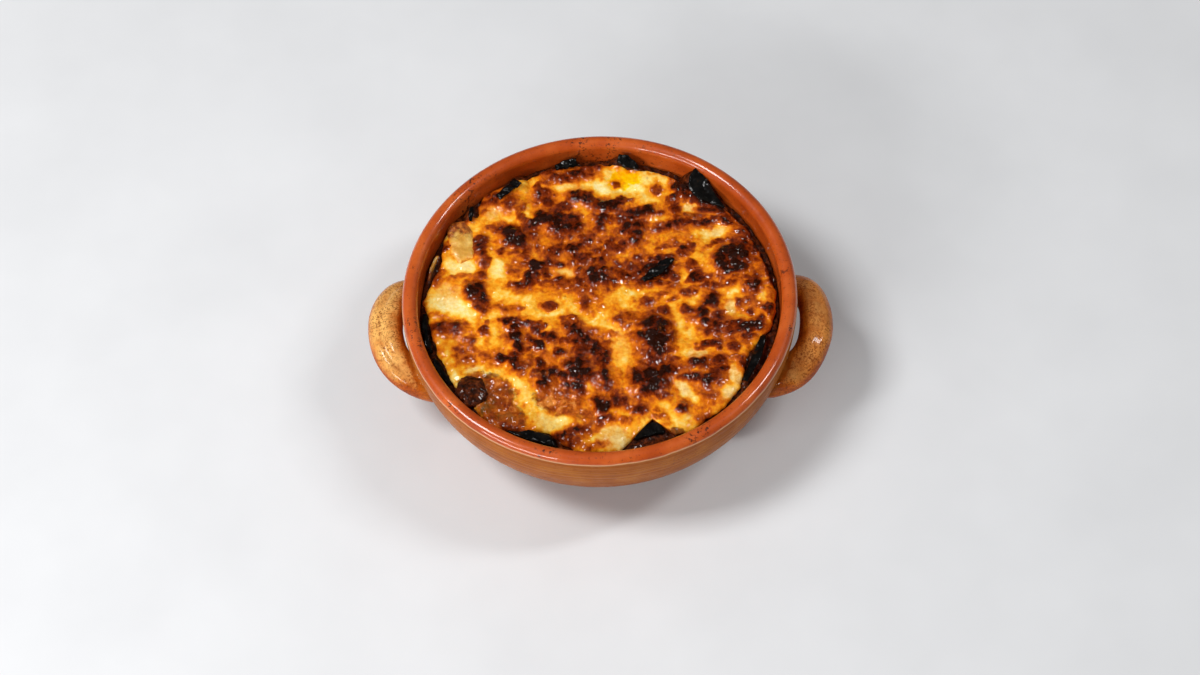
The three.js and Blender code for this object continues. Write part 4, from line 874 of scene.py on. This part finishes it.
def baked(x, y):
    """How browned the cheese is, 0 pale to 1 charred, and how dark its spots alone are."""
    wx, wy = warped(x, y)
    ragged = layered(x, y, SPOT_RAGGED)
    level = BAKED_LEVEL + layered(x, y, BAKED_MOTTLE)
    for zone in ZONES:
        level += zone[5] * bump(oval_distance(wx, wy, zone) / ZONE_SOFTNESS)
    level = np.clip(level, BAKED_LEAST, 1)
    freckles = FRECKLE_RISE * np.sqrt(bubbles(wx, wy, *FRECKLES))
    level += freckles * np.clip((level - FRECKLE_FROM) * FRECKLE_GAIN, 0, 1)
    for pale in PALES:
        share, _ = within(wx, wy, pale, PALE_EDGE, PALE_RAGGED * ragged)
        level += (np.minimum(level, pale[5]) - level) * share
    spots = np.zeros_like(x)
    halo = np.zeros_like(x)
    for spot in SPOTS:
        edge = SPOT_EDGE + SPOT_EDGE_SHARE * min(spot[2], spot[3])
        share, off = within(wx, wy, spot, edge, ragged - SPOT_SPREAD)
        dome = 1 - SPOT_DOME * np.clip(oval_distance(wx, wy, spot), 0, 1) ** 2
        spots += (spot[5] * dome * share) ** SPOT_MERGE
        halo = np.maximum(halo, spot[5] ** 2 * np.exp(-((np.maximum(off, 0) / SPOT_HALO) ** 2)))
    spots = np.minimum(spots ** (1 / SPOT_MERGE), 1)
    level = 1 - (1 - np.clip(level, 0, 1)) * (1 - SPOT_HALO_SHARE * halo)
    level = np.maximum(level, spots) + SPOT_OVER_BROWN * np.minimum(level, spots)
    level += (domes(x, y) + layered(x, y, BROWN_MOTTLE)) * np.clip(level * 2 - 0.4, 0, 1)
    return np.clip(level, 0, BAKED_MOST), spots


def patch_bumps(x, y, patches, softness):
    """One soft bump for each patch, with an uneven outline and as high as the patch's amount."""
    warp = layered(x, y, SPOT_WARP)
    return [patch[5] * bump(oval_distance(x + warp, y - warp, patch) / softness) for patch in patches]


def shown(x, y, patches):
    """How strongly patches of sauce or pink meat show through."""
    return np.maximum.reduce(patch_bumps(x, y, patches, SHOWN_SOFTNESS))


def tone(x, y):
    """How much stronger, or milkier below 0, the cheese's colour is."""
    return sum(patch_bumps(x, y, TONES, TONE_SOFTNESS))


def broad_height(x, y):
    """Height of the cheese without its fine relief: waves, blisters and hollows."""
    z = np.full_like(x, float(CHEESE_LEVEL))
    for rise, along, across in CHEESE_WAVES:
        z += rise * np.sin(x / along + 1) * np.cos(y / across)
    for blister in BLISTERS:
        z += BLISTER_RISE * blister[5] * bump(oval_distance(x, y, blister) / BLISTER_SOFTNESS)
    for hx, hy, radius, depth in HOLLOWS:
        z -= depth * bump(np.hypot(x - hx, y - hy) / radius)
    return z


def cheese_height(x, y, seen_y, edge, broad, browned, spots):
    """Height of the cheese; edge is how far out a point lies, 0 in the middle and 1 at the edge."""
    z = broad + layered(x, y, FINE_RELIEF) + SPOT_RISE * spots
    z += DOME_RISE * domes(x, seen_y) * np.clip(1.8 * browned - 0.25, 0.15, 1)
    z += layered(x, y, MINCE_RELIEF) * shown(x, seen_y, SAUCE)
    crinkle = 1
    for size, seed in CHAR_FOLDS:
        crinkle = crinkle - np.abs(noise(x, y, size, seed))
    z += CHAR_CRINKLE * crinkle * np.clip((spots - CHAR_FROM) / CHAR_OVER, 0, 1)
    rim = np.clip((edge - RIM_FROM) / RIM_WIDTH, 0, 1)
    in_notch = bump(np.hypot(x - NOTCH[1][0], y - NOTCH[1][1]) / NOTCH_REACH)
    fall = RIM_FALL * (1 - NOTCH_SPARES * in_notch)
    return np.maximum(z, heap_height(x, y)) - fall * (1 - np.sqrt(1 - RIM_STEEPNESS * rim * rim))


def round_net(cells):
    """A square net stretched to the cheese's outline: how far out its points lie, and their x and y."""
    v, u = np.meshgrid(np.linspace(-1, 1, cells + 1), np.linspace(-1, 1, cells + 1), indexing="ij")
    edge = np.maximum(np.abs(u), np.abs(v))
    with np.errstate(divide="ignore", invalid="ignore"):
        by_side = math.pi / 4 * v / u + np.where(u < 0, math.pi, 0)
        by_end = math.pi / 2 - math.pi / 4 * u / v + np.where(v < 0, math.pi, 0)
    azimuth = np.where(np.abs(u) >= np.abs(v), by_side, by_end)
    azimuth = np.where(edge == 0, 0, azimuth)
    r = edge * edge_radius(azimuth)
    return edge, r * np.cos(azimuth), r * np.sin(azimuth)


def make_cheese():
    """The cheese: a fine relief on a round net, with a plain side and underside."""
    edge, x, y = round_net(CHEESE_CELLS)
    broad = broad_height(x, y)
    seen_y = y + SEEN_SLOPE * (broad - SEEN_LEVEL)
    browned, spots = baked(x, seen_y)
    z = cheese_height(x, y, seen_y, edge, broad, browned, spots)
    top = np.stack([x, y, z], -1).reshape(-1, 3)

    at = np.arange(x.size).reshape(x.shape)
    faces = net_faces(at).tolist()
    loop = net_edge(at)
    points = [top]
    count = len(top)
    above = loop
    for row in range(1, CHEESE_SIDE_ROWS + 1):
        share = row / CHEESE_SIDE_ROWS
        ring = top[loop].copy()
        ring[:, :2] *= 1 - (1 - CHEESE_UNDERCUT) * share
        ring[:, 2] = ring[:, 2] * (1 - share) + CHEESE_BASE * share
        below = count + np.arange(len(loop))
        faces += band_faces(above, below)
        points.append(ring)
        count += len(ring)
        above = below
    faces += fan_faces(above, count)
    points = np.vstack(points + [np.array([[0, 0, CHEESE_BASE]])])

    side = np.full(len(points) - len(top), CHEESE_SIDE_BROWN)
    masks = {
        "baked": np.concatenate([browned.ravel(), side]),
        "charred": np.concatenate([spots.ravel(), side * 0.5]),
        "sauce": np.concatenate([shown(x, seen_y, SAUCE).ravel(), side]),
        "pink": np.concatenate([shown(x, seen_y, PINK).ravel(), side * 0]),
        "tone": np.concatenate([tone(x, seen_y).ravel(), side * 0]),
    }
    cheese = make_object("cheese_crust", points, faces, cheese_material(), masks)
    stand_for(cheese, "cheese_top")


def make_filling():
    """The layer of meat sauce: plain below, lumpy where it shows at the wall and in the notch."""
    azimuth = np.linspace(0, 2 * math.pi, MEAT_SEGMENTS, endpoint=False)
    inset = WALL + WALL_GAP
    rings = []
    for z in np.linspace(FLOOR + WALL_GAP, MEAT_AT_WALL - MEAT_ROUNDING, MEAT_WALL_ROWS):
        rings.append((float(wall_radius(z, inset)), np.full(MEAT_SEGMENTS, z)))
    for r in np.linspace(float(wall_radius(MEAT_AT_WALL, inset)), MEAT_FLAT_RADIUS, MEAT_TOP_ROWS):
        x, y = r * np.cos(azimuth), r * np.sin(azimuth)
        lift = np.maximum(MEAT_AT_WALL + layered(x, y, MEAT_LUMPS), heap_height(x, y))
        cover = np.clip((edge_radius(azimuth) - MEAT_TUCK - r) / MEAT_TUCK_OVER, 0, 1)
        rings.append((r, lift * (1 - cover) + MEAT_LEVEL * cover))
    points = [np.stack([r * np.cos(azimuth), r * np.sin(azimuth), z], -1) for r, z in rings]
    points = np.vstack(points + [np.array([[0, 0, FLOOR + WALL_GAP], [0, 0, MEAT_LEVEL]])])
    at = np.arange(len(rings) * MEAT_SEGMENTS).reshape(len(rings), MEAT_SEGMENTS)
    bottom, top = len(points) - 2, len(points) - 1
    faces = tube_faces(at) + fan_faces(at[0], bottom) + fan_faces(at[-1], top)
    filling = make_object("meat_sauce", points, faces, meat_material())
    stand_for(filling, "filling")


def make_sheet(name, material):
    """One thin wavy piece of skin or flesh along its stations, with an uneven edge."""
    thick, wave, stations = SHEETS[name]
    is_flesh = name in FLESH_SHEETS
    seed = SHEET_SEED + list(SHEETS).index(name)
    share = np.linspace(0, 1, SHEET_LENGTHS + 1)
    line, width, lean = sheet_line(stations, share)
    along = np.gradient(line, axis=0)
    along[:, 2] = 0
    along /= np.linalg.norm(along, axis=1)[:, None]
    left = np.stack([-along[:, 1], along[:, 0], np.zeros(len(share))], -1)
    across = np.sin(np.linspace(-1, 1, SHEET_WIDTHS + 1) * math.pi / 2)
    ragged = noise(share[:, None] * EDGE_LOBES, np.sign(across)[None, :] * EDGE_SIDES_APART, 1, seed)
    span = width[:, None] / 2 * (1 + EDGE_RAGGED * wave * ragged)
    xy = line[:, None, :] + left[:, None, :] * (across[None, :] * span)[..., None]
    x, y = xy[..., 0], xy[..., 1]
    lift = across[None, :] * lean[:, None]
    lift = lift + wave * np.sin(2 * math.pi * SHEET_WAVES * share[:, None] + 2 * across[None, :])
    rim = np.maximum(np.abs(across)[None, :], np.abs(2 * share - 1)[:, None]) ** 4
    if is_flesh:
        lift = lift - RIM_SINKS * rim
    relief = layered(x, y, [(rise, size, seed + extra) for rise, size, extra in SHEET_RELIEF])
    z = line[:, None, 2] + lift + relief
    taper = np.sqrt(np.maximum(EDGE_LEAST, 1 - np.abs(across) ** 4))[None, :]
    ends = np.sqrt(np.maximum(EDGE_LEAST, 1 - np.abs(2 * share - 1) ** 10))[:, None]
    half = thick / 2 * taper * ends
    upper = np.stack([x, y, z + half], -1).reshape(-1, 3)
    lower = np.stack([x, y, z - half], -1).reshape(-1, 3)
    at = np.arange(x.size).reshape(x.shape)
    top = net_faces(at)
    loop = net_edge(at)
    faces = top.tolist() + (top[:, ::-1] + x.size).tolist() + band_faces(loop, loop + x.size)
    browned = np.ones_like(x) * np.clip((share[:, None] - TOAST_FROM) / (1 - TOAST_FROM), 0, 1)
    masks = {"browned": np.tile(browned.ravel(), 2), "rim": np.tile(rim.ravel(), 2)}
    sheet = make_object(name + "_piece", np.vstack([upper, lower]), faces, material, masks)
    stand_for(sheet, name)


def make_lump():
    """A ball of minced meat with a knobbly surface."""
    shape = bmesh.new()
    bmesh.ops.create_icosphere(shape, subdivisions=5, radius=1)
    centre = Vector(MEAT_LUMP["at"])
    turn = Matrix.Rotation(math.radians(MEAT_LUMP["turn"]), 3, "Z")
    points = []
    for v in shape.verts:
        x, y, z = v.co
        swell = 1 + LUMP_SWELL * math.sin(4 * x + 1) * math.cos(5 * y) + LUMP_RIPPLE * math.sin(7 * z)
        points.append(turn @ Vector([v.co[k] * MEAT_LUMP["size"][k] * swell for k in range(3)]) + centre)
    faces = [[v.index for v in face.verts] for face in shape.faces]
    shape.free()
    points = np.array([tuple(p) for p in points])
    middle = np.array(MEAT_LUMP["at"])
    knobs = layered(points[:, 0] + points[:, 2], points[:, 1] - points[:, 2], LUMP_KNOBS)
    points = middle + (points - middle) * (1 + knobs)[:, None]
    lump = make_object("meat_lump_piece", points, faces, meat_material())
    stand_for(lump, "meat_lump")


# Materials


class Look:
    """A material's node tree, with short ways to add nodes and join them."""

    def __init__(self, name):
        self.material = bpy.data.materials.new(name)
        self.material.use_nodes = True
        self.tree = self.material.node_tree
        self.shader = self.tree.nodes["Principled BSDF"]
        self.place = self.node("ShaderNodeTexCoord").outputs["Object"]

    def node(self, kind, **settings):
        """A new node of this kind, with its settings."""
        made = self.tree.nodes.new(kind)
        for key, value in settings.items():
            setattr(made, key, value)
        return made

    def link(self, source, target):
        self.tree.links.new(source, target)

    def feed(self, socket, value):
        """Puts a number, a colour or another node's output into a socket."""
        if isinstance(value, bpy.types.NodeSocket):
            self.link(value, socket)
        else:
            socket.default_value = value

    def noise(self, size, detail=3.0, rough=0.55, warp=0.0):
        """Noise from 0 to 1 with lumps of about size millimetres."""
        made = self.node("ShaderNodeTexNoise")
        made.inputs["Scale"].default_value = 1 / (size * MM)
        made.inputs["Detail"].default_value = detail
        made.inputs["Roughness"].default_value = rough
        made.inputs["Distortion"].default_value = warp
        self.link(self.place, made.inputs["Vector"])
        return made.outputs["Fac"]

    def mask(self, name):
        """The numbers that the mesh holds for its points under this name."""
        return self.node("ShaderNodeAttribute", attribute_name=name).outputs["Fac"]

    def math(self, operation, a, b=0.0, c=0.0):
        made = self.node("ShaderNodeMath", operation=operation)
        for socket, value in zip(made.inputs, (a, b, c)):
            self.feed(socket, value)
        return made.outputs["Value"]

    def times(self, a, b):
        return self.math("MULTIPLY", a, b)

    def spread(self, value, low, high, to_low=0.0, to_high=1.0):
        """A value from low..high carried over to to_low..to_high, smoothly and clamped."""
        made = self.node("ShaderNodeMapRange", interpolation_type="SMOOTHSTEP")
        made.inputs["From Min"].default_value = low
        made.inputs["From Max"].default_value = high
        made.inputs["To Min"].default_value = to_low
        made.inputs["To Max"].default_value = to_high
        self.feed(made.inputs["Value"], value)
        return made.outputs["Result"]

    def ramp(self, value, stops):
        """A colour for each value, from stops of place, red, green and blue."""
        made = self.node("ShaderNodeValToRGB")
        ramp = made.color_ramp
        while len(ramp.elements) < len(stops):
            ramp.elements.new(0.5)
        for element, (place, *shade) in zip(ramp.elements, stops):
            element.position = place
            element.color = ink(*shade)
        self.feed(made.inputs["Fac"], value)
        return made.outputs["Color"]

    def mix(self, share, a, b):
        """Colour a where share is 0 and colour b where it is 1."""
        made = self.node("ShaderNodeMix", data_type="RGBA", blend_type="MIX")
        self.feed(made.inputs["Factor"], share)
        self.feed(made.inputs[6], a)
        self.feed(made.inputs[7], b)
        return made.outputs[2]

    def stain(self, colour, share, strength, *shade):
        """The colour with red, green and blue laid over it, up to that strength where share is 1."""
        return self.mix(self.times(share, strength), colour, ink(*shade))

    def bump(self, *layers, socket="Normal"):
        """Bumps of (height socket, depth in millimetres), one over the other."""
        normal = None
        for height, depth in layers:
            made = self.node("ShaderNodeBump")
            made.inputs["Distance"].default_value = depth * MM
            self.link(height, made.inputs["Height"])
            if normal is not None:
                self.link(normal, made.inputs["Normal"])
            normal = made.outputs["Normal"]
        self.link(normal, self.shader.inputs[socket])

    def finish(self, **values):
        """Sets the shader's own sockets by name, with underscores for spaces."""
        for name, value in values.items():
            self.feed(self.shader.inputs[name.replace("_", " ")], value)
        return self.material


def clay_material():
    """Terracotta with a clear glaze inside and on the lip, honey glaze outside, speckled handles."""
    look = Look("glazed_clay")
    split = look.node("ShaderNodeSeparateXYZ")
    look.link(look.place, split.inputs["Vector"])
    height = look.times(split.outputs["Z"], 1 / MM)
    wobble = look.math("MULTIPLY_ADD", look.noise(9), 1.2, -0.6)
    line = look.math("ADD", height, wobble)

    # Red clay inside and on the lip, with pores and dark chips
    red = look.ramp(look.noise(14, 5), [(0.3, 164, 62, 10), (0.5, 186, 77, 18), (0.7, 204, 96, 34)])
    pores = look.spread(look.noise(0.9, 2), 0.62, 0.7)
    red = look.stain(red, pores, 0.5, 84, 32, 14)
    small = look.spread(look.noise(1.6, 3, 0.7), 0.56, 0.6)
    chips = look.times(small, look.spread(look.noise(15, 1), 0.58, 0.68))
    red = look.stain(red, chips, 0.85, 44, 20, 12)

    # Honey glaze outside, with throwing rings and iron specks
    honey = look.ramp(look.noise(11, 5), [(0.3, 138, 66, 7), (0.5, 158, 80, 12), (0.7, 176, 102, 26)])
    rings = look.node("ShaderNodeTexNoise", noise_dimensions="1D")
    rings.inputs["Scale"].default_value = 0.7
    rings.inputs["Detail"].default_value = 3
    look.link(look.math("ADD", height, look.times(look.noise(26, 1), 3.0)), rings.inputs["W"])
    thrown = look.spread(rings.outputs["Fac"], 0.35, 0.65)
    honey = look.stain(honey, thrown, 0.45, 196, 124, 54)
    small = look.spread(look.noise(1.1, 2), 0.63, 0.7)
    iron = look.times(small, look.spread(look.noise(13, 2), 0.45, 0.6))
    honey = look.stain(honey, iron, 0.6, 74, 34, 10)
    honey = look.mix(look.spread(height, *HONEY_LOW), ink(142, 66, 5), honey)
    honey = look.stain(honey, look.spread(line, *UNDER_LIP), 0.45, 162, 86, 30)

    # Tan handles with freckles; the cream over their crowns, which face up and outwards, is partly worn
    # glaze and partly painted highlight
    handle = look.mask("handle")
    crown = look.math("MULTIPLY_ADD", look.noise(5, 4, 0.6), 0.7, look.mask("crown"))
    cream_wear_and_highlight = look.spread(crown, 0.8, 1.45)
    start, full = BROWNER_FROM
    browner = look.spread(split.outputs["X"], start * MM, full * MM, 1.0, BROWNER_SHARE)
    cream_wear_and_highlight = look.times(cream_wear_and_highlight, browner)
    tan = look.ramp(look.noise(6, 5, 0.6), [(0.3, 142, 54, 6), (0.5, 180, 82, 14), (0.7, 208, 112, 28)])
    cream = look.mix(cream_wear_and_highlight, tan, ink(252, 194, 108))
    fine_grain = look.noise(0.9, 4, 0.75)
    speckled = look.spread(look.noise(8, 2), 0.35, 0.6, 0.35, 0.85)
    freckles = look.times(look.spread(fine_grain, 0.49, 0.59), speckled)
    cream = look.mix(freckles, cream, ink(128, 56, 14))
    outer = look.mix(handle, honey, cream)

    # The honey glaze ends at a pale line below the lip
    outside = look.spread(look.mask("outside"), 0.4, 0.6)
    glazed = look.times(outside, look.spread(line, GLAZE_LINE, GLAZE_LINE - 0.3))
    over = look.spread(line, GLAZE_LINE - 0.5, GLAZE_LINE - 0.1)
    under = look.spread(line, GLAZE_LINE + 0.5, GLAZE_LINE + 0.1)
    pale_line = look.times(look.times(over, under), outside)
    colour = look.mix(glazed, red, outer)
    colour = look.stain(colour, pale_line, 0.7, 214, 168, 122)

    uneven = look.noise(6, 2)
    ringed = look.times(thrown, glazed)
    look.bump((uneven, 0.25), (ringed, 0.12), (look.noise(0.8, 3), 0.05))
    belly = look.times(glazed, look.math("SUBTRACT", 1.0, handle))
    dulled = look.math("MULTIPLY_ADD", belly, 0.62, look.times(handle, 0.4))
    shine = look.math("SUBTRACT", 0.8, dulled)
    return look.finish(Base_Color=colour, Roughness=look.spread(look.noise(5), 0.3, 0.7, 0.35, 0.48),
                       Specular_IOR_Level=look.spread(glazed, 0.0, 1.0, 0.22, 0.02),
                       Coat_Weight=shine, Coat_Roughness=0.08, Coat_IOR=1.45)


def cheese_material():
    """Oily baked cheese, from pale cream through orange to charred."""
    look = Look("baked_cheese")
    browned = look.mask("baked")
    charred = look.mask("charred")
    fine = look.math("SUBTRACT", look.noise(1.2, 3, 0.6), 0.5)
    grain = look.spread(browned, 0.15, 0.55, 0.26, 0.44)
    level = look.math("MULTIPLY_ADD", fine, grain, browned)
    colour = look.ramp(level, [
        (0.0, 255, 240, 178), (0.1, 254, 218, 118), (0.2, 250, 182, 52), (0.28, 239, 148, 24),
        (0.36, 222, 121, 16), (0.44, 203, 100, 13), (0.52, 184, 86, 12), (0.6, 161, 69, 11),
        (0.69, 138, 52, 7), (0.79, 114, 38, 5), (0.9, 86, 24, 3), (1.0, 38, 11, 3),
    ])

    # Stronger colour where tone is above 0, and milky cheese where it is below
    vivid = look.node("ShaderNodeHueSaturation")
    tone = look.mask("tone")
    look.link(look.math("ADD", look.math("MAXIMUM", tone, 0.0), 1.0), vivid.inputs["Saturation"])
    look.link(colour, vivid.inputs["Color"])
    milk = look.times(look.spread(tone, -0.05, -0.5), look.spread(level, 0.5, 0.15))
    milky = look.ramp(look.noise(1.8, 4, 0.65), [
        (0.32, 206, 132, 50), (0.46, 228, 172, 88), (0.6, 242, 204, 132), (0.72, 250, 226, 170),
    ])
    colour = look.mix(look.times(milk, 0.75), vivid.outputs["Color"], milky)

    # Meat sauce that shows through, with lacy edges
    pinker = look.math("MULTIPLY_ADD", look.mask("pink"), 0.12, look.noise(4.2, 6, 0.62, 0.6))
    meat = look.ramp(pinker, [
        (0.34, 66, 18, 2), (0.44, 112, 38, 3), (0.54, 152, 60, 6), (0.62, 188, 92, 24),
        (0.72, 226, 138, 62),
    ])
    sauce = look.mask("sauce")
    lacy = look.math("MULTIPLY_ADD", look.noise(4.5, 5, 0.6, 0.5), 1.6, -0.8)
    saucy = look.spread(look.math("ADD", sauce, lacy), 0.15, 0.65)
    colour = look.mix(look.times(saucy, 0.9), colour, meat)

    # Rougher where it is browned or saucy, under a film of oil with its own broad bumps
    rough = look.spread(charred, 0.6, 0.95, 0.34, 0.5)
    rugged = look.spread(look.math("MAXIMUM", browned, saucy), 0.3, 0.7, 0.35, 1.0)
    rugged = look.times(look.noise(1.1, 4, 0.6), rugged)
    look.bump((rugged, 0.5), (look.noise(0.45, 2), 0.04))
    look.bump((look.noise(3.2, 1, 0.5), 1.5), socket="Coat Normal")
    wet = look.spread(browned, 0.1, 0.6, 0.8, 1.0)
    wet = look.times(wet, look.spread(charred, 0.5, 1.0, 1.0, 0.7))
    oil = look.times(look.spread(look.noise(3.0, 3), 0.44, 0.56, 0.06, 1.0), wet)
    gravy = look.times(saucy, look.spread(look.noise(1.8, 2), 0.42, 0.52, 0.2, 1.0))
    oil = look.math("MAXIMUM", oil, gravy)
    return look.finish(Base_Color=colour, Roughness=rough, Specular_IOR_Level=0.02,
                       Coat_Weight=oil, Coat_Roughness=0.05, Coat_IOR=1.5)


def skin_material():
    """Wet black skin, with a hint of green and brown."""
    look = Look("aubergine_skin")
    colour = look.ramp(look.noise(2.4, 4, 0.6), [
        (0.3, 5, 4, 4), (0.55, 9, 8, 7), (0.7, 20, 15, 10), (0.85, 44, 22, 10),
    ])
    look.bump((look.noise(1.2, 4), 0.3), (look.noise(0.5, 2), 0.08))
    return look.finish(Base_Color=colour, Roughness=0.6, Specular_IOR_Level=0.03,
                       Coat_Weight=look.spread(look.noise(3.4, 2), 0.45, 0.62, 0.1, 0.7),
                       Coat_Roughness=0.14, Coat_IOR=1.4)


def flesh_material():
    """Soft pale flesh with a crust along its rim, toasted at its far end."""
    look = Look("aubergine_flesh")
    colour = look.ramp(look.noise(3.4, 4), [(0.3, 204, 138, 42), (0.5, 222, 168, 70), (0.7, 238, 194, 104)])
    browned = look.mask("browned")
    uneven = look.math("MULTIPLY_ADD", look.noise(2.2, 4, 0.6), 0.9, -0.45)
    browned = look.math("ADD", browned, uneven)
    toast = look.ramp(look.noise(1.6, 4, 0.6), [
        (0.35, 112, 48, 12), (0.5, 156, 78, 20), (0.65, 200, 118, 38),
    ])
    crust = look.ramp(look.noise(1.1, 3, 0.6), [
        (0.35, 214, 118, 22), (0.5, 238, 156, 40), (0.65, 250, 192, 74),
    ])
    colour = look.mix(look.spread(look.mask("rim"), 0.15, 0.7), colour, crust)
    colour = look.mix(look.spread(browned, 0.25, 0.6), colour, toast)
    look.bump((look.noise(1.6, 3), 0.25), (look.noise(0.5, 2), 0.06))
    return look.finish(Base_Color=colour, Roughness=0.34, Coat_Weight=0.5, Coat_Roughness=0.1,
                       Subsurface_Weight=0.2, Subsurface_Scale=0.002, Subsurface_Radius=(1.0, 0.7, 0.3))


def meat_material():
    """Oily minced meat in tomato sauce."""
    look = Look("meat_sauce")
    colour = look.ramp(look.noise(2.0, 4, 0.65), [
        (0.3, 18, 6, 2), (0.46, 50, 18, 5), (0.6, 92, 38, 12), (0.78, 148, 74, 30),
    ])
    look.bump((look.noise(1.2, 4), 0.35), (look.noise(0.4, 2), 0.1))
    return look.finish(Base_Color=colour, Roughness=0.4, Specular_IOR_Level=0.06,
                       Coat_Weight=look.spread(look.noise(2.4, 2), 0.45, 0.6, 0.05, 0.7),
                       Coat_Roughness=0.06, Coat_IOR=1.42)


def floor_material():
    """Plain pale ground."""
    look = Look("pale_floor")
    colour = look.ramp(look.noise(60, 3), [(0.3, 222, 223, 225), (0.7, 228, 229, 231)])
    return look.finish(Base_Color=colour, Roughness=0.75)


# Stage


def make_camera():
    """The camera, which looks down at the dish from its near side, with a slight roll."""
    elevation, roll = math.radians(CAMERA_ELEVATION), math.radians(CAMERA_ROLL)
    forward = Vector((0, math.cos(elevation), -math.sin(elevation)))
    level_right = Vector((1, 0, 0))
    level_up = level_right.cross(forward)
    right = level_right * math.cos(roll) + level_up * math.sin(roll)
    up = level_up * math.cos(roll) - level_right * math.sin(roll)
    data = bpy.data.cameras.new("camera")
    data.lens = LENS
    data.sensor_width = SENSOR
    camera = bpy.data.objects.new("camera", data)
    place = (Vector(CAMERA_TARGET) - forward * CAMERA_DISTANCE) * MM
    turn = Matrix((right, up, -forward)).transposed()
    camera.matrix_world = Matrix.Translation(place) @ turn.to_4x4()
    bpy.context.scene.collection.objects.link(camera)
    bpy.context.scene.camera = camera


def make_light(name, direction, distance, width, depth, power):
    """A soft box that hangs along a direction from the dish and points at it."""
    data = bpy.data.lights.new(name, "AREA")
    data.shape = "RECTANGLE"
    data.size, data.size_y = width, depth
    data.energy = power
    lamp = bpy.data.objects.new(name, data)
    away = Vector(direction).normalized()
    lamp.location = away * distance
    lamp.rotation_euler = away.to_track_quat("Z", "Y").to_euler()
    bpy.context.scene.collection.objects.link(lamp)


def make_stage():
    """The ground, the soft boxes and the light of the room."""
    half = GROUND_HALF
    corners = [(-half, -half, 0), (half, -half, 0), (half, half, 0), (-half, half, 0)]
    floor = make_object("floor", corners, [(0, 1, 2, 3)], floor_material())
    floor.location.z = -GROUND_DROP * MM
    for name, light in LIGHTS.items():
        make_light(name, *light)
    world = bpy.data.worlds.new("room")
    world.use_nodes = True
    background = world.node_tree.nodes["Background"]
    background.inputs["Color"].default_value = (1, 1, 1, 1)
    background.inputs["Strength"].default_value = ROOM_LIGHT
    bpy.context.scene.world = world
    bpy.context.scene.view_settings.view_transform = "Standard"


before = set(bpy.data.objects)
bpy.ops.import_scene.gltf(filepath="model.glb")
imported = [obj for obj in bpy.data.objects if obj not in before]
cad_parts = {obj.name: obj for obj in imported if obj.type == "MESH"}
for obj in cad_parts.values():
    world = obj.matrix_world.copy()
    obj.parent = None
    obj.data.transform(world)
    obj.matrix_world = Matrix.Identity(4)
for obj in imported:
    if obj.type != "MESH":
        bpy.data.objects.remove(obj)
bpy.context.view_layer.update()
make_camera()
make_stage()
make_dish()
make_filling()
make_cheese()
skin, flesh = skin_material(), flesh_material()
for sheet_name in SHEETS:
    make_sheet(sheet_name, flesh if sheet_name in FLESH_SHEETS else skin)
make_lump()
